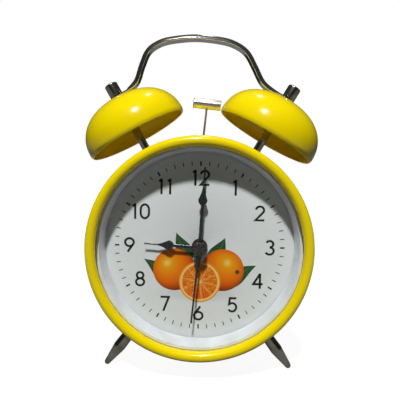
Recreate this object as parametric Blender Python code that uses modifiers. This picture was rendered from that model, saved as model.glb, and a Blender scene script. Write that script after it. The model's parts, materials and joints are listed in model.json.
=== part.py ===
"""A battery twin-bell alarm clock, built the way the real one comes apart on a bench.

Frame: metres, +Z up, the dial faces -Y. The origin is on the surface the clock stands on, under its middle.
Depths are counted from the front of the rim towards the back. Radii of the case group are counted
from the dial's centre, so a bell, a post or a foot is placed by a radius and a lean.
"""
import math

import bmesh
import bpy
from mathutils import Matrix, Vector

MM = 0.001
TURN = 2 * math.pi

# ---------------------------------------------------------------- driving dimensions
GAP = 0.3 * MM            # between two solids that seat on each other
WALL = 0.8 * MM           # sheet steel of the case and the bells

RIM_R = 52.5 * MM         # outside of the rolled rim
BEAD_R = 2.4 * MM         # radius of the rim's round section
DRUM_R = RIM_R - 2.1 * MM  # outside of the drum, a step inside the rim
SKIRT_WALL = 0.6 * MM     # sleeve of the rim that slides into the drum
SKIRT_DEPTH = 9.0 * MM
CASE_DEPTH = 42.8 * MM    # rim front to the drum's rear flange
FLANGE = 5.4 * MM         # width of the inward flange at the rear

LENS_T = 1.0 * MM
DIAL_FACE = 13.7 * MM     # depth of the dial's face
DIAL_T = 0.6 * MM
RING_W = 2.8 * MM         # how far the white ring reaches in over the dial
RING_SLOPE = 0.17         # how fast it widens towards the lens

COVER_T = 2.0 * MM
KNOB_LENGTH = 10.0 * MM
KNOB_R = 6.0 * MM
KNOB_AIR = 0.5 * MM       # between a knob and the cover

RADIAL_DEPTH = 20.0 * MM  # depth of the bells, posts, hammer and front feet
BELL_LEAN = math.radians(30)
BELL_MAX_R = 25.2 * MM
BELL_OPEN_R = BELL_MAX_R - 0.5 * MM
BELL_LIP_AT = DRUM_R + 11.0 * MM  # radius from the dial's centre to the bell's mouth
BELL_TUCK = 1.6 * MM      # from the mouth to the widest ring
BELL_HEIGHT = 20.1 * MM
DOME_ACROSS = 0.83        # under 1, a dome is fuller than an ellipse
DOME_UP = 0.93
POST_R = 1.9 * MM
STUD_R = 1.3 * MM
BELL_NUT_R = 3.2 * MM
BELL_NUT_LENGTH = 6.0 * MM
STUD_END = 4.1 * MM       # how far posts and feet reach inside the drum
INNER_NUT_R = 3.0 * MM
INNER_NUT_T = 2.3 * MM

HANDLE_W = 6.0 * MM
HANDLE_T = 2.5 * MM
HANDLE_FOOT_T = 1.1 * MM
HANDLE_RISE = 19.7 * MM   # outside of the handle's top above the crowns' distance from the centre
HANDLE_SHIFT = -3.1 * MM  # the arch stands a little to the left of its feet
ARCH = ((12.8 * MM, 1.3 * MM), (19.5 * MM, 3.6 * MM), (24.0 * MM, 7.2 * MM), (27.1 * MM, 13.2 * MM),
        (30.6 * MM, 21.0 * MM))  # right half of the arch: out from its top, and down

HAMMER_PIVOT_UP = DRUM_R - 6.9 * MM
HAMMER_ARM = 25.3 * MM    # pivot to the middle of the head
HAMMER_LEAN = math.radians(5.5)
HAMMER_HEAD_R = 2.4 * MM
HAMMER_HEAD_L = 13.4 * MM
WIRE_R = 0.5 * MM
MOTOR_UP = HAMMER_PIVOT_UP - 9.0 * MM
MOTOR_R = 7.75 * MM
MOTOR_FRONT = 28.2 * MM
MOTOR_LENGTH = 13.8 * MM

FOOT_SPREAD = math.radians(36.7)
FOOT_REACH = DRUM_R + 27.0 * MM  # dial's centre to the middle of the round tip
FOOT_TIP_R = 1.5 * MM
FOOT_SHOULDER_AT = DRUM_R + 16.8 * MM
FOOT_SHOULDER_R = 3.0 * MM
FOOT_NECK_R = 2.6 * MM
REAR_FOOT_R = 2.6 * MM
REAR_FOOT_DEPTH = CASE_DEPTH - 5.3 * MM

HOUR_HAND = dict(length=26.5 * MM, stem=1.4 * MM, start=12.2 * MM, wide_at=14.8 * MM, wide=4.9 * MM,
                 end=20.3 * MM, tip=0.8 * MM, hub=3.5 * MM)
MINUTE_HAND = dict(length=38.4 * MM, stem=1.5 * MM, start=20.3 * MM, wide_at=22.9 * MM, wide=4.4 * MM,
                   end=29.5 * MM, tip=0.8 * MM, hub=3.3 * MM)
SECOND_LENGTH = 36.2 * MM
ALARM_LENGTH = 12.4 * MM
HOUR_ANGLE = math.radians(273.5)
MINUTE_ANGLE = math.radians(3.1)
SECOND_ANGLE = math.radians(185.3)
ALARM_ANGLE = math.radians(184.0)

CELL_R = 7.25 * MM
CELL_LENGTH = 50.5 * MM
CELL_DOWN = 24.0 * MM
CONTACT_ROOM = 3.2 * MM   # at each end of the cell
TRAY_WALL = 1.2 * MM
DOOR_T = 1.2 * MM
SWITCH_TRAVEL = 5.0 * MM
SWITCH_AT = (24.0 * MM, 14.0 * MM)

# The movement: layers of wheels from the front plate backwards.
PLATE_T = 1.2 * MM
LAYER_T = 0.8 * MM
LAYER_STEP = 1.2 * MM
MOVEMENT_HALF_W = 24.5 * MM
MOVEMENT_TOP = 27.0 * MM
MOVEMENT_BOTTOM = -21.5 * MM
TRAIN_CENTRES = 13.0 * MM    # third wheel to centre
MOTION_CENTRES = 11.2 * MM   # motion wheel to centre and to the setting pinion
FIRST_CENTRES = 9.5 * MM     # intermediate wheel to centre
ROTOR_CENTRES = 8.0 * MM
ALARM_CENTRES = 14.4 * MM
KNOB_DOWN = 6.0 * MM         # both setting shafts, under the dial's centre
ADDENDUM = 0.7               # tooth heights, in modules
DEDENDUM = 1.0
TOOTH_ROOT = 0.28            # half widths of a tooth, in pitches
TOOTH_TIP = 0.12

# Concentric arbors, from the inside outwards, and the hands on them.
PIN_SECOND_R = 0.45 * MM
MINUTE_TUBE_R = 1.1 * MM
HOUR_TUBE_R = 1.7 * MM
ALARM_TUBE_R = 2.35 * MM
BUSH_R = 3.05 * MM
DIAL_NUT_R = 3.9 * MM
DIAL_NUT_T = 1.2 * MM
HAND_T = 0.4 * MM
ALARM_HAND_UP = 2.3 * MM  # front faces of the hands above the dial
HOUR_HAND_UP = 3.3 * MM
MINUTE_HAND_UP = 4.8 * MM
SECOND_HAND_UP = 6.3 * MM
CAP_UP = 7.3 * MM
CAP_R = 3.2 * MM
ARBOR_R = 0.5 * MM
MAGNET_R = 1.6 * MM
STEM_R = 1.5 * MM
KNOB_SOCKET = 5.0 * MM
KNOB_FLUTE = 0.5 * MM
CRYSTAL_R = 1.0 * MM

# Hammer drive
PIN_R = 0.9 * MM
LEVER_HALF = 1.5 * MM
LEVER_TOP = 3.8 * MM
WIRE_FOOT = 2.2 * MM
SHAFT_R = 0.75 * MM
CRANK_FRONT = 22.4 * MM
CRANK_T = 0.8 * MM
CRANK_PIN_R = 0.5 * MM

SCREW_R = 0.9 * MM
SCREW_AT = DRUM_R - 4.0 * MM
SWITCH_NECK = (1.7 * MM, 2.0 * MM)  # half sizes of the switch's neck
SPRING_WIRE_R = 0.35 * MM

# ---------------------------------------------------------------- worked-out places
COVER_FRONT = CASE_DEPTH + GAP
COVER_REAR = COVER_FRONT + COVER_T
KNOB_FRONT = COVER_REAR + KNOB_AIR
KNOB_END = KNOB_FRONT + KNOB_LENGTH
FRONT_Y = -(KNOB_END + min(0, RADIAL_DEPTH - BELL_MAX_R)) / 2  # the bells stand out in front of the rim
CENTRE_Z = FOOT_REACH * math.cos(FOOT_SPREAD) + FOOT_TIP_R
DRUM_IN = DRUM_R - WALL
SKIRT_R = DRUM_IN - GAP
INSIDE_R = SKIRT_R - SKIRT_WALL - GAP
DRUM_FRONT = 2 * BEAD_R + GAP
LENS_FRONT = BEAD_R + math.sqrt(BEAD_R**2 - (RIM_R - BEAD_R - INSIDE_R)**2) + GAP
LENS_REAR = LENS_FRONT + LENS_T
DIAL_R_SEEN = INSIDE_R - RING_W  # where the white ring meets the dial
PLATE_FRONT = DIAL_FACE + DIAL_T + GAP
LAYER_A = PLATE_FRONT + PLATE_T + 0.4 * MM
CROWN_AT = BELL_LIP_AT + BELL_HEIGHT
HANDLE_TOP = CROWN_AT + HANDLE_RISE
HANDLE_FOOT_AT = CROWN_AT + GAP
BELL_NUT_AT = HANDLE_FOOT_AT + HANDLE_FOOT_T + GAP


def layer(index):
    """Front and rear depth of a layer of wheels."""
    front = LAYER_A + index * LAYER_STEP
    return front, front + LAYER_T


ALARM_LAYER, HOUR_LAYER, MOTION_LAYER, MINUTE_LAYER, THIRD_LAYER, SECOND_LAYER, FIRST_LAYER = range(7)
ROTOR_FRONT = layer(FIRST_LAYER)[1] + GAP
LID_FRONT = ROTOR_FRONT + 2.2 * MM
LID_REAR = LID_FRONT + 1.0 * MM
CELL_DEPTH = COVER_REAR + 0.4 * MM - DOOR_T - GAP - CELL_R

ALARM_HAND_AT = DIAL_FACE - ALARM_HAND_UP
HOUR_HAND_AT = DIAL_FACE - HOUR_HAND_UP
MINUTE_HAND_AT = DIAL_FACE - MINUTE_HAND_UP
SECOND_HAND_AT = DIAL_FACE - SECOND_HAND_UP
CAP_FRONT = DIAL_FACE - CAP_UP
TUBE_PROUD = 0.2 * MM     # how far each tube stands out of its hand
ALARM_TUBE_FRONT = ALARM_HAND_AT - TUBE_PROUD
HOUR_TUBE_FRONT = HOUR_HAND_AT - TUBE_PROUD
MINUTE_TUBE_FRONT = MINUTE_HAND_AT - TUBE_PROUD
SECOND_PIN_FRONT = SECOND_HAND_AT + 0.1 * MM
BUSH_FRONT = DIAL_FACE - GAP - DIAL_NUT_T - TUBE_PROUD
CRANK_THROW = (HAMMER_PIVOT_UP - MOTOR_UP) * math.tan(HAMMER_LEAN)
FORK_SLOT = 2 * CRANK_THROW + CRANK_PIN_R + GAP
HAMMER_SLOT_UP = DRUM_R - HAMMER_PIVOT_UP
BRACKET_TOP = math.sqrt(DRUM_IN**2 - (7 * MM)**2) - GAP - HAMMER_PIVOT_UP

# ---------------------------------------------------------------- a clean scene
for old in list(bpy.data.objects):
    bpy.data.objects.remove(old)
parts = bpy.data.collections.new("alarm_clock")
cutters = bpy.data.collections.new("cutters")
for collection in (parts, cutters):
    bpy.context.scene.collection.children.link(collection)


def material(name, colour, roughness, metallic=0.0, alpha=1.0):
    made = bpy.data.materials.new(name)
    made.use_nodes = True
    shader = made.node_tree.nodes["Principled BSDF"]
    shader.inputs["Base Color"].default_value = (*colour, 1)
    shader.inputs["Roughness"].default_value = roughness
    shader.inputs["Metallic"].default_value = metallic
    shader.inputs["Alpha"].default_value = alpha
    return made


YELLOW = material("yellow_enamel", (0.87, 0.70, 0.0), 0.22)
DARK_CHROME = material("dark_chrome", (0.10, 0.10, 0.09), 0.25, 1.0)
CHROME = material("chrome", (0.75, 0.75, 0.76), 0.08, 1.0)
STEEL = material("zinc_steel", (0.55, 0.56, 0.56), 0.35, 1.0)
GLASS = material("clear_glass", (0.95, 0.97, 0.97), 0.03, 0.0, 0.25)
WHITE = material("white_plastic", (0.80, 0.82, 0.85), 0.4)
PAPER = material("printed_dial", (0.75, 0.76, 0.76), 0.6)
BLACK = material("black_lacquer", (0.015, 0.015, 0.015), 0.3)
BLACK_PLASTIC = material("black_plastic", (0.03, 0.03, 0.03), 0.45)
GEAR_PLASTIC = material("gear_plastic", (0.85, 0.84, 0.78), 0.4)
COPPER = material("enamelled_copper", (0.70, 0.30, 0.12), 0.35, 1.0)
BOARD_GREEN = material("board_green", (0.03, 0.20, 0.08), 0.5)
BRASS = material("brass", (0.75, 0.55, 0.22), 0.3, 1.0)
RUBBER = material("black_rubber", (0.02, 0.02, 0.02), 0.8)
CELL_WRAP = material("cell_wrap", (0.10, 0.12, 0.16), 0.3, 0.3)


# ---------------------------------------------------------------- modelling helpers
def empty(name, location, rotation=(0, 0, 0), parent=None):
    made = bpy.data.objects.new(name, None)
    made.empty_display_size = 0.01
    made.location = location
    made.rotation_euler = rotation
    made.parent = parent
    parts.objects.link(made)
    return made


def place(name, data, parent, location=(0, 0, 0), rotation=(0, 0, 0), look=None):
    """One named object. Without a look it is a cutter or a guide and stays out of the model."""
    made = bpy.data.objects.new(name, data)
    made.parent = parent
    made.location = location
    made.rotation_euler = rotation
    if look is None:
        made.hide_render = True
        made.display_type = "WIRE"
        cutters.objects.link(made)
    else:
        data.materials.append(look)
        parts.objects.link(made)
    return made


def turned(name, profile, parent, look=None, location=(0, 0, 0), rotation=(0, 0, 0), steps=32, closed=False):
    """A profile of (radius, height) points, outer side from top to bottom, swept round local Z."""
    data = bpy.data.meshes.new(name)
    links = [(i, i + 1) for i in range(len(profile) - 1)]
    if closed:
        links.append((len(profile) - 1, 0))
    data.from_pydata([(r, 0, z) for r, z in profile], links, [])
    made = place(name, data, parent, location, rotation, look)
    screw = made.modifiers.new("turn", "SCREW")
    screw.steps = screw.render_steps = steps
    screw.use_merge_vertices = True
    screw.merge_threshold = 0.00001
    screw.use_smooth_shade = True
    return made


def rod(name, radius, low, high, parent, look=None, location=(0, 0, 0), rotation=(0, 0, 0), steps=20):
    """A solid cylinder on local Z, from low to high."""
    profile = [(0, high), (radius, high), (radius, low), (0, low)]
    return turned(name, profile, parent, look, location, rotation, steps)


def tube(name, inner, outer, low, high, parent, look=None, location=(0, 0, 0), rotation=(0, 0, 0), steps=24):
    profile = [(inner, high), (outer, high), (outer, low), (inner, low)]
    return turned(name, profile, parent, look, location, rotation, steps, closed=True)


def welded(obj):
    """A curve object made into a plain mesh with its caps welded, and the curve removed."""
    graph = bpy.context.evaluated_depsgraph_get()
    data = bpy.data.meshes.new_from_object(obj.evaluated_get(graph))
    data.transform(obj.matrix_world)
    work = bmesh.new()
    work.from_mesh(data)
    bmesh.ops.remove_doubles(work, verts=work.verts, dist=0.000001)
    bmesh.ops.recalc_face_normals(work, faces=work.faces)
    work.to_mesh(data)
    work.free()
    bpy.data.objects.remove(obj)
    return data


def flat(name, outlines, low, high, parent, look=None, location=(0, 0, 0), rotation=(0, 0, 0)):
    """Flat outlines in local XY, the first one with the others as holes, between two heights."""
    curve = bpy.data.curves.new(name, "CURVE")
    curve.dimensions = "2D"
    curve.fill_mode = "BOTH"
    curve.extrude = (high - low) / 2
    for outline in outlines:
        spline = curve.splines.new("POLY")
        spline.points.add(len(outline) - 1)
        for point, (x, y) in zip(spline.points, outline):
            point.co = (x, y, 0, 1)
        spline.use_cyclic_u = True
    guide = bpy.data.objects.new(name + "_guide", curve)
    bpy.context.scene.collection.objects.link(guide)
    data = welded(guide)
    data.transform(Matrix.Translation((0, 0, (low + high) / 2)))
    return place(name, data, parent, location, rotation, look)


def box(name, low, high, parent, look=None, location=(0, 0, 0), rotation=(0, 0, 0)):
    """A cuboid between two corners."""
    work = bmesh.new()
    bmesh.ops.create_cube(work, size=1)
    size = [b - a for a, b in zip(low, high)]
    middle = [(a + b) / 2 for a, b in zip(low, high)]
    bmesh.ops.scale(work, vec=size, verts=work.verts)
    bmesh.ops.translate(work, vec=middle, verts=work.verts)
    data = bpy.data.meshes.new(name)
    work.to_mesh(data)
    work.free()
    return place(name, data, parent, location, rotation, look)


def combine(obj, operation, tools):
    for tool in tools:
        step = obj.modifiers.new(operation.lower(), "BOOLEAN")
        step.operation = operation
        step.solver = "EXACT"
        step.object = tool


def join(obj, *tools):
    combine(obj, "UNION", tools)


def cut(obj, *tools):
    combine(obj, "DIFFERENCE", tools)


def arc(radius, start, end, count, centre=(0, 0)):
    """Points on an arc, both ends included, angles in radians."""
    cx, cy = centre
    angles = [start + (end - start) * i / (count - 1) for i in range(count)]
    return [(cx + radius * math.cos(a), cy + radius * math.sin(a)) for a in angles]


def circle(radius, count=20, centre=(0, 0)):
    return arc(radius, 0, TURN, count + 1, centre)[:-1]


def slab(front_depth, rear_depth):
    """Heights in the dial's frame of a piece between two depths."""
    return -rear_depth, -front_depth


# ---------------------------------------------------------------- frames
# In the dial's frame local X is right, local Y is up and local Z comes out of the dial.
dial_frame = empty("dial_frame", (0, FRONT_Y, CENTRE_Z), (math.pi / 2, 0, 0))
RADIAL_ORIGIN = (0, FRONT_Y + RADIAL_DEPTH, CENTRE_Z)


def radial_frame(name, lean, origin=RADIAL_ORIGIN):
    """Local Z runs outwards from the dial's centre, leaning to the right of straight up."""
    return empty(name, origin, (0, lean, 0))


# ---------------------------------------------------------------- case, rim, lens and dial
def case_shell():
    flange_in = DRUM_R - FLANGE
    profile = [(DRUM_R, -DRUM_FRONT), (DRUM_R, -CASE_DEPTH), (flange_in, -CASE_DEPTH),
               (flange_in, WALL - CASE_DEPTH), (DRUM_IN, WALL - CASE_DEPTH), (DRUM_IN, -DRUM_FRONT)]
    return turned("case_shell", profile, dial_frame, YELLOW, steps=44, closed=True)


def front_bezel():
    centre = (RIM_R - BEAD_R, -BEAD_R)
    inner, outer = SKIRT_R - SKIRT_WALL, SKIRT_R
    start = math.pi + math.acos((centre[0] - inner) / BEAD_R)
    end = -math.pi + math.acos((centre[0] - outer) / BEAD_R)
    profile = arc(BEAD_R, start, end, 11, centre)
    profile += [(outer, -SKIRT_DEPTH), (inner, -SKIRT_DEPTH)]
    return turned("front_bezel", profile, dial_frame, YELLOW, steps=44, closed=True)


def front_lens():
    return rod("front_lens", INSIDE_R, *slab(LENS_FRONT, LENS_REAR), dial_frame, GLASS, steps=40)


def dial_ring():
    front, rear = LENS_REAR + GAP, DIAL_FACE - GAP
    lip = DIAL_R_SEEN + RING_SLOPE * (rear - front)
    profile = [(lip, -front), (INSIDE_R, -front), (INSIDE_R, -rear), (DIAL_R_SEEN, -rear)]
    return turned("dial_ring", profile, dial_frame, WHITE, steps=40, closed=True)


def dial_plate():
    return tube("dial_plate", BUSH_R + GAP, SKIRT_R, *slab(DIAL_FACE, DIAL_FACE + DIAL_T), dial_frame, PAPER,
                steps=40)


def dial_nut():
    return tube("dial_nut", BUSH_R + GAP, DIAL_NUT_R, *slab(DIAL_FACE - GAP - DIAL_NUT_T, DIAL_FACE - GAP),
                dial_frame, BLACK)


# ---------------------------------------------------------------- bells, posts and handle
def bell_outline():
    """Half of the bell: crown hole, flat crown, dome down to the widest ring, then tucked in to the lip."""
    widest = BELL_LIP_AT + BELL_TUCK
    rise = CROWN_AT - widest
    points = [(STUD_R + GAP, CROWN_AT)]
    for step in range(1, 9):
        angle = math.radians(90 * (1 - step / 8))
        points.append((BELL_MAX_R * math.cos(angle)**DOME_ACROSS, widest + rise * math.sin(angle)**DOME_UP))
    points.append((BELL_OPEN_R, BELL_LIP_AT))
    return points


def bell_side(side, lean):
    """A bell on its post, with the nut on top and the nut inside the drum."""
    frame = radial_frame(side + "_bell_frame", lean)
    bell = turned(side + "_bell", bell_outline(), frame, YELLOW, steps=32)
    sheet = bell.modifiers.new("sheet", "SOLIDIFY")
    sheet.thickness = WALL
    sheet.offset = -1

    stud_top = BELL_NUT_AT + BELL_NUT_LENGTH - 1.6 * MM
    shoulder = CROWN_AT - WALL - GAP
    seat = DRUM_R + GAP
    inside = DRUM_IN - STUD_END
    profile = [(0, stud_top), (STUD_R, stud_top), (STUD_R, shoulder), (POST_R, shoulder), (POST_R, seat),
               (STUD_R, seat), (STUD_R, inside), (0, inside)]
    turned(side + "_bell_post", profile, frame, DARK_CHROME, steps=16)

    top = BELL_NUT_AT + BELL_NUT_LENGTH
    bore = STUD_R + GAP
    chamfer = 0.6 * MM
    profile = [(0, top), (BELL_NUT_R - chamfer, top), (BELL_NUT_R, top - chamfer), (BELL_NUT_R, BELL_NUT_AT),
               (bore, BELL_NUT_AT), (bore, stud_top + GAP), (0, stud_top + GAP)]
    turned(side + "_bell_nut", profile, frame, DARK_CHROME, steps=20)
    inner_nut(side + "_post_nut", frame)
    return frame


def inner_nut(name, frame):
    """A hexagon nut on a stud, just clear of the drum's curved inner wall."""
    top = math.sqrt(DRUM_IN**2 - INNER_NUT_R**2) - GAP
    flat(name, [circle(INNER_NUT_R, 6), circle(STUD_R + GAP, 12)], top - INNER_NUT_T, top, frame, STEEL)


def smooth_path(points, per_span):
    """Points on a Catmull-Rom curve through the given ones, in the XZ plane."""
    ends = [points[0] * 2 - points[1], *points, points[-1] * 2 - points[-2]]
    path = []
    for a, b, c, d in zip(ends, ends[1:], ends[2:], ends[3:]):
        for i in range(per_span):
            t = i / per_span
            path.append(0.5 * (2 * b + (c - a) * t + (2 * a - 5 * b + 4 * c - d) * t**2
                               + (3 * b - a - 3 * c + d) * t**3))
    return path + [points[-1]]


def handle_path():
    """Middle line of the strap, from the left foot's end over the top to the right foot's end."""
    side, out = math.cos(BELL_LEAN), math.sin(BELL_LEAN)
    foot_at = HANDLE_FOOT_AT + HANDLE_FOOT_T / 2

    def on_foot(along):
        """A point on the foot, measured from the stud towards the middle of the clock."""
        return Vector((foot_at * out - along * side, 0, foot_at * side + along * out))

    top = HANDLE_TOP - HANDLE_T / 2
    inner, right = on_foot(6.4 * MM), []
    for across, down in ((0, 0), *ARCH):
        right.append(Vector((across, 0, top - down)))
    right += [inner, on_foot(3.4 * MM), on_foot(-3.4 * MM)]
    left = [Vector((-p.x, 0, p.z)) for p in reversed(right[1:])]
    path = smooth_path(left + right, 2)
    for p in path:
        p.x += HANDLE_SHIFT * math.sqrt(max(0, p.z - inner.z) / (top - inner.z))
    return path


def handle():
    """A strap with a rounded outer face, pressed flat and thin where it sits under the bell nuts."""
    frame = empty("handle_frame", RADIAL_ORIGIN)
    path = handle_path()
    lengths = [0.0]
    for a, b in zip(path, path[1:]):
        lengths.append(lengths[-1] + (b - a).length)
    across = 6
    work = bmesh.new()
    rings = []
    for i, point in enumerate(path):
        ahead = path[min(i + 1, len(path) - 1)] - path[max(i - 1, 0)]
        outward = Vector((-ahead.z, 0, ahead.x)).normalized()
        from_end = min(lengths[i], lengths[-1] - lengths[i])
        bend = min(1, max(0, (from_end - 7.0 * MM) / (7.0 * MM)))
        thick = HANDLE_FOOT_T + (HANDLE_T - HANDLE_FOOT_T) * bend
        half = HANDLE_W / 2
        if from_end < half:
            half *= math.sqrt(max(0.12, 1 - (1 - from_end / half)**2))
        ring = []
        for k in range(across + 1):
            u = -1 + 2 * k / across
            crown = thick / 2 - bend * thick * 0.62 * u**4 - 0.1 * thick * u**8
            ring.append(work.verts.new(point + Vector((0, half * u, 0)) + outward * crown))
        for u in (1, -1):
            ring.append(work.verts.new(point + Vector((0, half * u, 0)) - outward * thick / 2))
        rings.append(ring)
    count = len(rings[0])
    for a, b in zip(rings, rings[1:]):
        for k in range(count):
            work.faces.new((a[k], a[(k + 1) % count], b[(k + 1) % count], b[k]))
    work.faces.new(rings[0])
    work.faces.new(reversed(rings[-1]))
    bmesh.ops.recalc_face_normals(work, faces=work.faces)
    data = bpy.data.meshes.new("handle")
    work.to_mesh(data)
    work.free()
    made = place("handle", data, frame, look=CHROME)
    for side, lean in (("left", -BELL_LEAN), ("right", BELL_LEAN)):
        hole_frame = radial_frame(side + "_handle_hole_frame", lean)
        cut(made, rod(side + "_handle_hole", STUD_R + GAP, CROWN_AT - 3 * MM, CROWN_AT + 6 * MM, hole_frame,
                      steps=14))
    return made


# ---------------------------------------------------------------- feet
def front_foot(side, lean):
    frame = radial_frame(side + "_foot_frame", lean)
    tip = arc(FOOT_TIP_R, math.pi / 2, math.radians(8), 5, (0, FOOT_REACH))
    seat = DRUM_R + GAP
    inside = DRUM_IN - STUD_END
    profile = [(0, FOOT_REACH + FOOT_TIP_R), *tip[1:], (FOOT_SHOULDER_R, FOOT_SHOULDER_AT),
               (FOOT_SHOULDER_R, FOOT_SHOULDER_AT - 1 * MM), (FOOT_NECK_R, seat), (STUD_R, seat),
               (STUD_R, inside), (0, inside)]
    turned(side + "_foot", profile, frame, DARK_CHROME, steps=20)
    inner_nut(side + "_foot_nut", frame)
    return frame


def rear_foot():
    frame = radial_frame("rear_foot_frame", math.pi, (0, FRONT_Y + REAR_FOOT_DEPTH, CENTRE_Z))
    seat = DRUM_R + GAP
    inside = DRUM_IN - STUD_END
    edge = 0.4 * MM
    profile = [(0, CENTRE_Z), (REAR_FOOT_R - edge, CENTRE_Z), (REAR_FOOT_R, CENTRE_Z - edge),
               (REAR_FOOT_R * 0.8, seat), (STUD_R, seat), (STUD_R, inside), (0, inside)]
    turned("rear_foot", profile, frame, RUBBER, steps=20)
    inner_nut("rear_foot_nut", frame)
    return frame


def drill_case(shell, frames):
    """Stud holes through the drum, and the slot that the hammer's wire swings in."""
    for frame in frames:
        cut(shell, rod(frame.name + "_hole", STUD_R + GAP, DRUM_IN - 2 * MM, DRUM_R + 2 * MM, frame, steps=12))
    half = (HAMMER_SLOT_UP * math.sin(HAMMER_LEAN) + WIRE_R) + 2 * GAP
    slot = box("hammer_slot", (-half, -WIRE_R - 3 * GAP, DRUM_IN - 3 * MM), (half, WIRE_R + 3 * GAP, DRUM_R + MM),
               empty("hammer_slot_frame", RADIAL_ORIGIN))
    cut(shell, slot)
    for x in (-SCREW_AT, SCREW_AT):
        cut(shell, rod("flange_hole", SCREW_R + GAP, -CASE_DEPTH - MM, 2 * MM - CASE_DEPTH, dial_frame,
                       location=(x, 0, 0), steps=10))


# ---------------------------------------------------------------- hammer and its drive
def hammer():
    """Head, wire and lever swing together on the pivot pin, which the bracket holds."""
    pivot_at = (0, FRONT_Y + RADIAL_DEPTH, CENTRE_Z + HAMMER_PIVOT_UP)
    axis = empty("hammer_axis", pivot_at, (0, HAMMER_LEAN, 0))
    across = (0, math.pi / 2, 0)
    edge = 0.3 * MM
    half = HAMMER_HEAD_L / 2
    profile = [(0, half), (HAMMER_HEAD_R - edge, half), (HAMMER_HEAD_R, half - edge),
               (HAMMER_HEAD_R, edge - half), (HAMMER_HEAD_R - edge, -half), (0, -half)]
    head = turned("hammer_head", profile, axis, CHROME, (0, 0, HAMMER_ARM), across, 24)
    socket = WIRE_R + GAP
    cut(head, rod("head_socket", socket, HAMMER_ARM - 2 * HAMMER_HEAD_R, HAMMER_ARM, axis, steps=10))
    rod("hammer_wire", WIRE_R, WIRE_FOOT, HAMMER_ARM - GAP, axis, STEEL, steps=10)

    slot = FORK_SLOT
    outer = slot + 1.1 * MM
    reach = HAMMER_PIVOT_UP - MOTOR_UP + 2.8 * MM
    web = 4.2 * MM
    half_outline = [(1.3 * MM, LEVER_TOP), (1.3 * MM, 1.0 * MM), (2.2 * MM, 0), (outer, -3.0 * MM),
                    (outer, -reach), (slot, -reach), (slot, -web)]
    outline = half_outline + [(-x, z) for x, z in reversed(half_outline)]
    upright = (math.pi / 2, 0, 0)
    lever = flat("hammer_lever", [outline, circle(PIN_R + GAP, 14)], -LEVER_HALF, LEVER_HALF, axis, BRASS,
                 rotation=upright)
    cut(lever, rod("lever_socket", socket, WIRE_FOOT - GAP, LEVER_TOP + MM, axis, steps=10))

    still = empty("hammer_bracket_frame", pivot_at)
    pin_half = LEVER_HALF + GAP + MM + 0.6 * MM
    rod("hammer_pivot", PIN_R, -pin_half, pin_half, still, STEEL, rotation=upright, steps=14)
    cheek_in, cheek_out = LEVER_HALF + GAP, LEVER_HALF + GAP + MM
    top = BRACKET_TOP
    bracket = box("hammer_bracket", (-7 * MM, -cheek_out - MM, top - WALL), (7 * MM, cheek_out + MM, top), still,
                  STEEL)
    for name, low, high in (("front_cheek", -cheek_out, -cheek_in), ("rear_cheek", cheek_in, cheek_out)):
        join(bracket, box(name, (-3 * MM, low, -2.2 * MM), (3 * MM, high, top - WALL / 2), still))
    cut(bracket, rod("bracket_pin_hole", PIN_R + GAP, -pin_half - MM, pin_half + MM, still, rotation=upright,
                     steps=14))
    wire_room = top * math.sin(HAMMER_LEAN) + WIRE_R + 2 * GAP
    cut(bracket, box("bracket_slot", (-wire_room, -WIRE_R - GAP, top - 2 * WALL),
                     (wire_room, WIRE_R + GAP, top + MM), still))


def bell_motor():
    """A small motor gripped by a ring on the back cover, and the crank that rocks the hammer's fork."""
    shaft_tip = CRANK_FRONT + CRANK_T + GAP
    front, rear = MOTOR_FRONT, MOTOR_FRONT + MOTOR_LENGTH
    profile = [(0, -shaft_tip), (SHAFT_R, -shaft_tip), (SHAFT_R, 0.7 * MM - front), (3 * MM, 0.7 * MM - front),
               (3 * MM, -front), (MOTOR_R, -front), (MOTOR_R, -rear), (0, -rear)]
    turned("bell_motor", profile, dial_frame, STEEL, (0, MOTOR_UP, 0), steps=28)

    axis = empty("crank_axis", (0, MOTOR_UP, 0), parent=dial_frame)
    front, web, rear = CRANK_FRONT, CRANK_FRONT + CRANK_T, MOTOR_FRONT - 2.2 * MM
    bore = SHAFT_R + GAP
    profile = [(0, -front), (3 * MM, -front), (3 * MM, -web), (1.9 * MM, -web), (1.9 * MM, -rear),
               (bore, -rear), (bore, -web), (0, -web)]
    crank = turned("motor_crank", profile, axis, WHITE, steps=20)
    pin_front = RADIAL_DEPTH - LEVER_HALF - 2 * GAP
    join(crank, rod("crank_pin", CRANK_PIN_R, *slab(pin_front, front + 0.2 * MM), axis,
                    location=(-CRANK_THROW, 0, 0), steps=10))


# ---------------------------------------------------------------- wheels of the movement
def gear(name, teeth, module, phase, front, rear, parent, look=None, bore=0.0):
    """A spur wheel as a flat outline, with a tooth's middle at the angle phase."""
    pitch = TURN / teeth
    tip = (teeth / 2 + ADDENDUM) * module
    root = (teeth / 2 - DEDENDUM) * module
    outline = []
    for k in range(teeth):
        middle = phase + k * pitch
        for radius, share in ((root, -TOOTH_ROOT), (tip, -TOOTH_TIP), (tip, TOOTH_TIP), (root, TOOTH_ROOT)):
            angle = middle + share * pitch
            outline.append((radius * math.cos(angle), radius * math.sin(angle)))
    outlines = [outline, circle(bore, 16)] if bore else [outline]
    return flat(name, outlines, *slab(front, rear), parent, look)


def meshed(phase, teeth, other_teeth, start, end):
    """The phase of a wheel at end that meshes with a wheel at start."""
    towards = math.atan2(end[1] - start[1], end[0] - start[0])
    return towards + math.pi + math.pi / other_teeth - (phase - towards) * teeth / other_teeth


def axis_at(name, spot):
    return empty(name, (spot[0], spot[1], 0), parent=dial_frame)


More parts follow.
